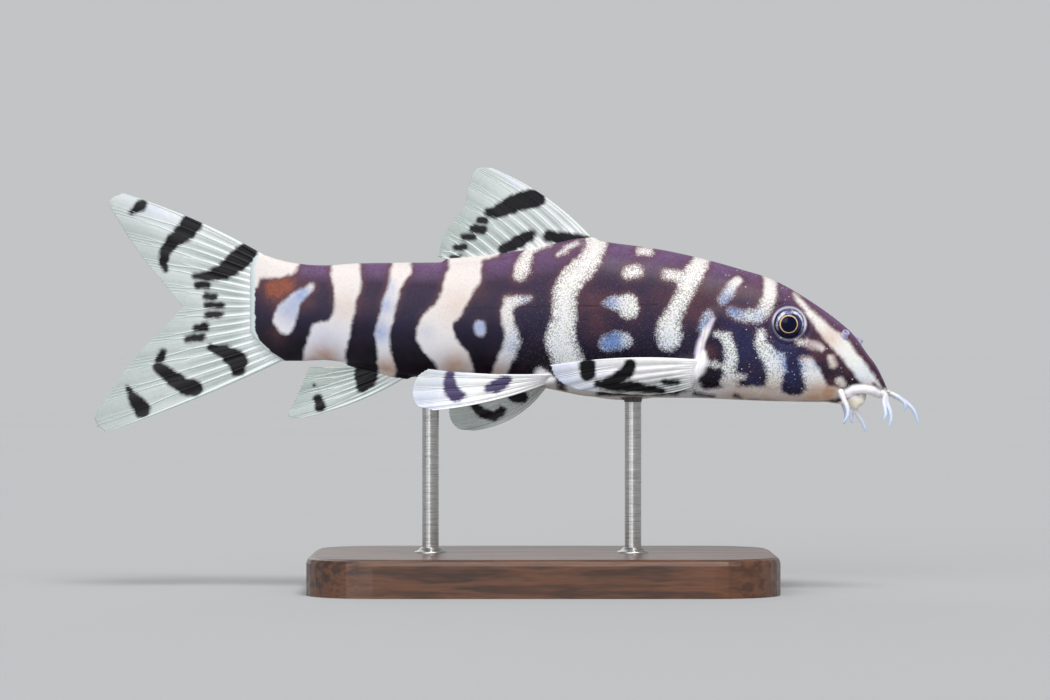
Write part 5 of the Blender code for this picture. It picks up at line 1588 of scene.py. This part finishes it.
def wood_finish(look):
    """Waxed dark wood with its grain along the base."""
    f = Finish("base_wood")
    fine = f.noise(0.9, 3.0, 0.6, (0.04, 1.0, 1.0))
    band = f.math("FRACT", f.times(f.noise(4.0, 4.0, 0.6, (0.12, 1.0, 1.0)), 6.0))
    band = f.span(f.math("ABSOLUTE", f.less(band, 0.5)), 0.0, 0.5)
    colour = f.over(
        look.grain,
        (f.span(band, 0.1, 0.9), look.wood),
        (f.span(fine, 0.5, 0.72, 0.0, 0.7), look.grain),
        (f.span(f.noise(20), 0.3, 0.7, 0.0, 0.25), tone(120, 74, 44)),
    )
    f.bump(f.plus(f.times(fine, 0.7), f.times(band, 0.3)), 0.06, 0.6)
    return f.set(Base_Color=colour, Roughness=f.span(fine, 0.3, 0.7, 0.32, 0.48),
                 Coat_Weight=0.25, Coat_Roughness=0.15)


def steel_finish():
    """Steel brushed round the rods."""
    f = Finish("rod_steel")
    brushed = f.noise(0.8, 3.0, 0.7, (0.3, 0.3, 9.0))
    colour = f.mix(f.span(brushed, 0.3, 0.7), tone(150, 148, 146), tone(206, 205, 204))
    f.bump(brushed, 0.01, 0.5)
    return f.set(Base_Color=colour, Metallic=1.0, Roughness=f.span(brushed, 0.3, 0.7, 0.24, 0.4))


class LOACH_OT_stand(bpy.types.Operator):
    """Finish the base and rods, and add a collar at each foot and a pad under the belly"""

    bl_idname = "loach.stand"
    bl_label = "Stand"

    def execute(self, context):
        look = context.scene.loach_stand
        wood, steel = wood_finish(look), steel_finish()
        f = Finish("pad_rubber")
        colour = f.mix(f.span(f.noise(0.4), 0.3, 0.7), tone(64, 62, 64), tone(88, 86, 88))
        f.bump(f.noise(0.2), 0.01, 0.4)
        rubber = f.set(Base_Color=colour, Roughness=0.6)
        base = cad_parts["stand_base"]
        rods = [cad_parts[name] for name in RODS]
        for node, finish in ((base, wood), (rods[0], steel), (rods[1], steel)):
            node.data.materials.clear()
            node.data.materials.append(finish)
        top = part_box("stand_base")[1].z
        feet, tops = [], []
        for rod in rods:
            low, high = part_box(rod.name)
            middle = (low + high) / 2
            feet.append((middle.x, middle.y, top))
            tops.append((middle.x, middle.y, high.z))
        radius = (high.x - low.x) / 2
        for name, profile, places, finish, size in (
            ("stand_collars", COLLAR_PROFILE, feet, steel, look.collar),
            ("stand_pads", PAD_PROFILE, tops, rubber, 1.0),
        ):
            points, faces = turned_shape([(r * radius, h * radius) for r, h in profile],
                                         TURNED_SIDES)
            shape = make_piece(f"{name}_shape", points, faces, finish)
            piece = grown(name, places, [], {}, SCATTER,
                          {"Shape": shape, "Size": size, "Material": finish})
            bpy.data.objects.remove(shape, do_unlink=True)
            settle(piece, "rod")
        return {"FINISHED"}


# The stage


class StageLook(bpy.types.PropertyGroup):
    """Floor, lights and camera."""

    floor: shade("Floor", "Pale plain floor", (182, 183, 185))
    floor_size: number("Floor size", "Length of each side of the floor",
                       unit="LENGTH", default=30.0)
    distance: number("Camera distance", "From the camera to the fish's middle plane",
                     unit="LENGTH", default=SIGHT * MM)
    key: number("Key light", "Strength of the broad light above", default=2.2, min=0)
    fill: number("Fill light", "Strength of the broad light at the front", default=1.45, min=0)
    back: number("Back light", "Strength of the broad light behind", default=0.45, min=0)
    horizon: number("Horizon", "Brightness of the surroundings at floor height",
                    default=0.56, min=0)
    zenith: number("Zenith", "Brightness of the surroundings above", default=0.34, min=0)


def broad_light(name, way, strength, spread, colour):
    """An even light from one side that comes out of a broad patch of the sky."""
    data = bpy.data.lights.new(name, "SUN")
    data.energy = strength
    data.angle = math.radians(spread)
    data.color = colour
    light = bpy.data.objects.new(name, data)
    light.location = way
    light.rotation_euler = Vector(way).to_track_quat("Z", "Y").to_euler()
    bpy.context.scene.collection.objects.link(light)


def surroundings(scene, look):
    """Even pale surroundings, brightest at floor height so that the floor ends unseen."""
    world = scene.world or bpy.data.worlds.new("World")
    scene.world = world
    world.use_nodes = True
    tree = world.node_tree
    way = make_node(tree, "ShaderNodeTexCoord")["Generated"]
    up = make_node(tree, "ShaderNodeSeparateXYZ", {0: way})["Z"]
    level = (up, *HORIZON_SPAN, look.horizon, look.zenith)
    level = make_node(tree, "ShaderNodeMapRange", dict(enumerate(level)),
                      interpolation_type="SMOOTHSTEP")[0]
    feed(tree, tree.nodes["Background"], {"Strength": level, "Color": SKY_COLOUR})


class LOACH_OT_stage(bpy.types.Operator):
    """Make the floor, the lights and the camera"""

    bl_idname = "loach.stage"
    bl_label = "Stage"

    def execute(self, context):
        look = context.scene.loach_stage
        f = Finish("stage_floor")
        colour = f.mix(f.span(f.noise(150, 2.0), 0.3, 0.7), look.floor, tone(180, 182, 184))
        floor = f.set(Base_Color=colour, Roughness=1.0, Specular_IOR_Level=0.0)
        edge = look.floor_size / 2
        points = [(-edge, -edge, 0), (edge, -edge, 0), (edge, edge, 0), (-edge, edge, 0)]
        ground = make_piece("stage_floor", points, [(0, 1, 2, 3)], floor)

        for name, (way, spread, colour) in LIGHTS.items():
            broad_light(f"{name}_light", way, getattr(look, name), spread, colour)
        surroundings(context.scene, look)
        context.scene.view_settings.view_transform = "Standard"

        lens = bpy.data.cameras.new("camera")
        lens.sensor_width = 36.0
        lens.lens = lens.sensor_width * look.distance / VIEW_WIDTH
        lens.clip_start, lens.clip_end = 0.01, 60.0
        camera = bpy.data.objects.new("camera", lens)
        camera.location = (SIGHT_X * MM, -look.distance, (SIGHT_Z + LIFT) * MM)
        camera.rotation_euler = (math.pi / 2, 0, 0)
        context.scene.collection.objects.link(camera)
        context.scene.camera = camera
        return {"FINISHED"}


# The sidebar


GROUPS = (
    ("loach_skin", SkinLook), ("loach_eye", EyeLook), ("loach_fin", FinLook),
    ("loach_feeler", FeelerLook), ("loach_stand", StandLook), ("loach_stage", StageLook),
)
STEPS = (
    LOACH_OT_stage, LOACH_OT_stand, LOACH_OT_skin, LOACH_OT_nostrils, LOACH_OT_eyes,
    LOACH_OT_dorsal_fin, LOACH_OT_tail_fin, LOACH_OT_anal_fin, LOACH_OT_pelvic_fins,
    LOACH_OT_pectoral_fins, LOACH_OT_feelers,
)


class LOACH_PT_panel(bpy.types.Panel):
    """The loach's sizes, colours and steps"""

    bl_idname = "LOACH_PT_panel"
    bl_label = "Spotted loach"
    bl_space_type = "VIEW_3D"
    bl_region_type = "UI"
    bl_category = "Loach"

    def draw(self, context):
        for name, group in GROUPS:
            box = self.layout.box()
            box.label(text=group.__doc__)
            for key in group.__annotations__:
                box.prop(getattr(context.scene, name), key)
        for step in STEPS:
            self.layout.operator(step.bl_idname)


def register():
    """Makes the add-on's classes and settings known to Blender."""
    for _, group in GROUPS:
        bpy.utils.register_class(group)
    for step in STEPS:
        bpy.utils.register_class(step)
    bpy.utils.register_class(LOACH_PT_panel)
    for name, group in GROUPS:
        setattr(bpy.types.Scene, name, bpy.props.PointerProperty(type=group))


def unregister():
    """Takes them back."""
    for name, _ in GROUPS:
        delattr(bpy.types.Scene, name)
    bpy.utils.unregister_class(LOACH_PT_panel)
    for step in reversed(STEPS):
        bpy.utils.unregister_class(step)
    for _, group in reversed(GROUPS):
        bpy.utils.unregister_class(group)


def main():
    """Makes every piece in order."""
    register()
    for step in STEPS:
        group, action = step.bl_idname.split(".")
        getattr(getattr(bpy.ops, group), action)()


if __name__ == "__main__":
    main()
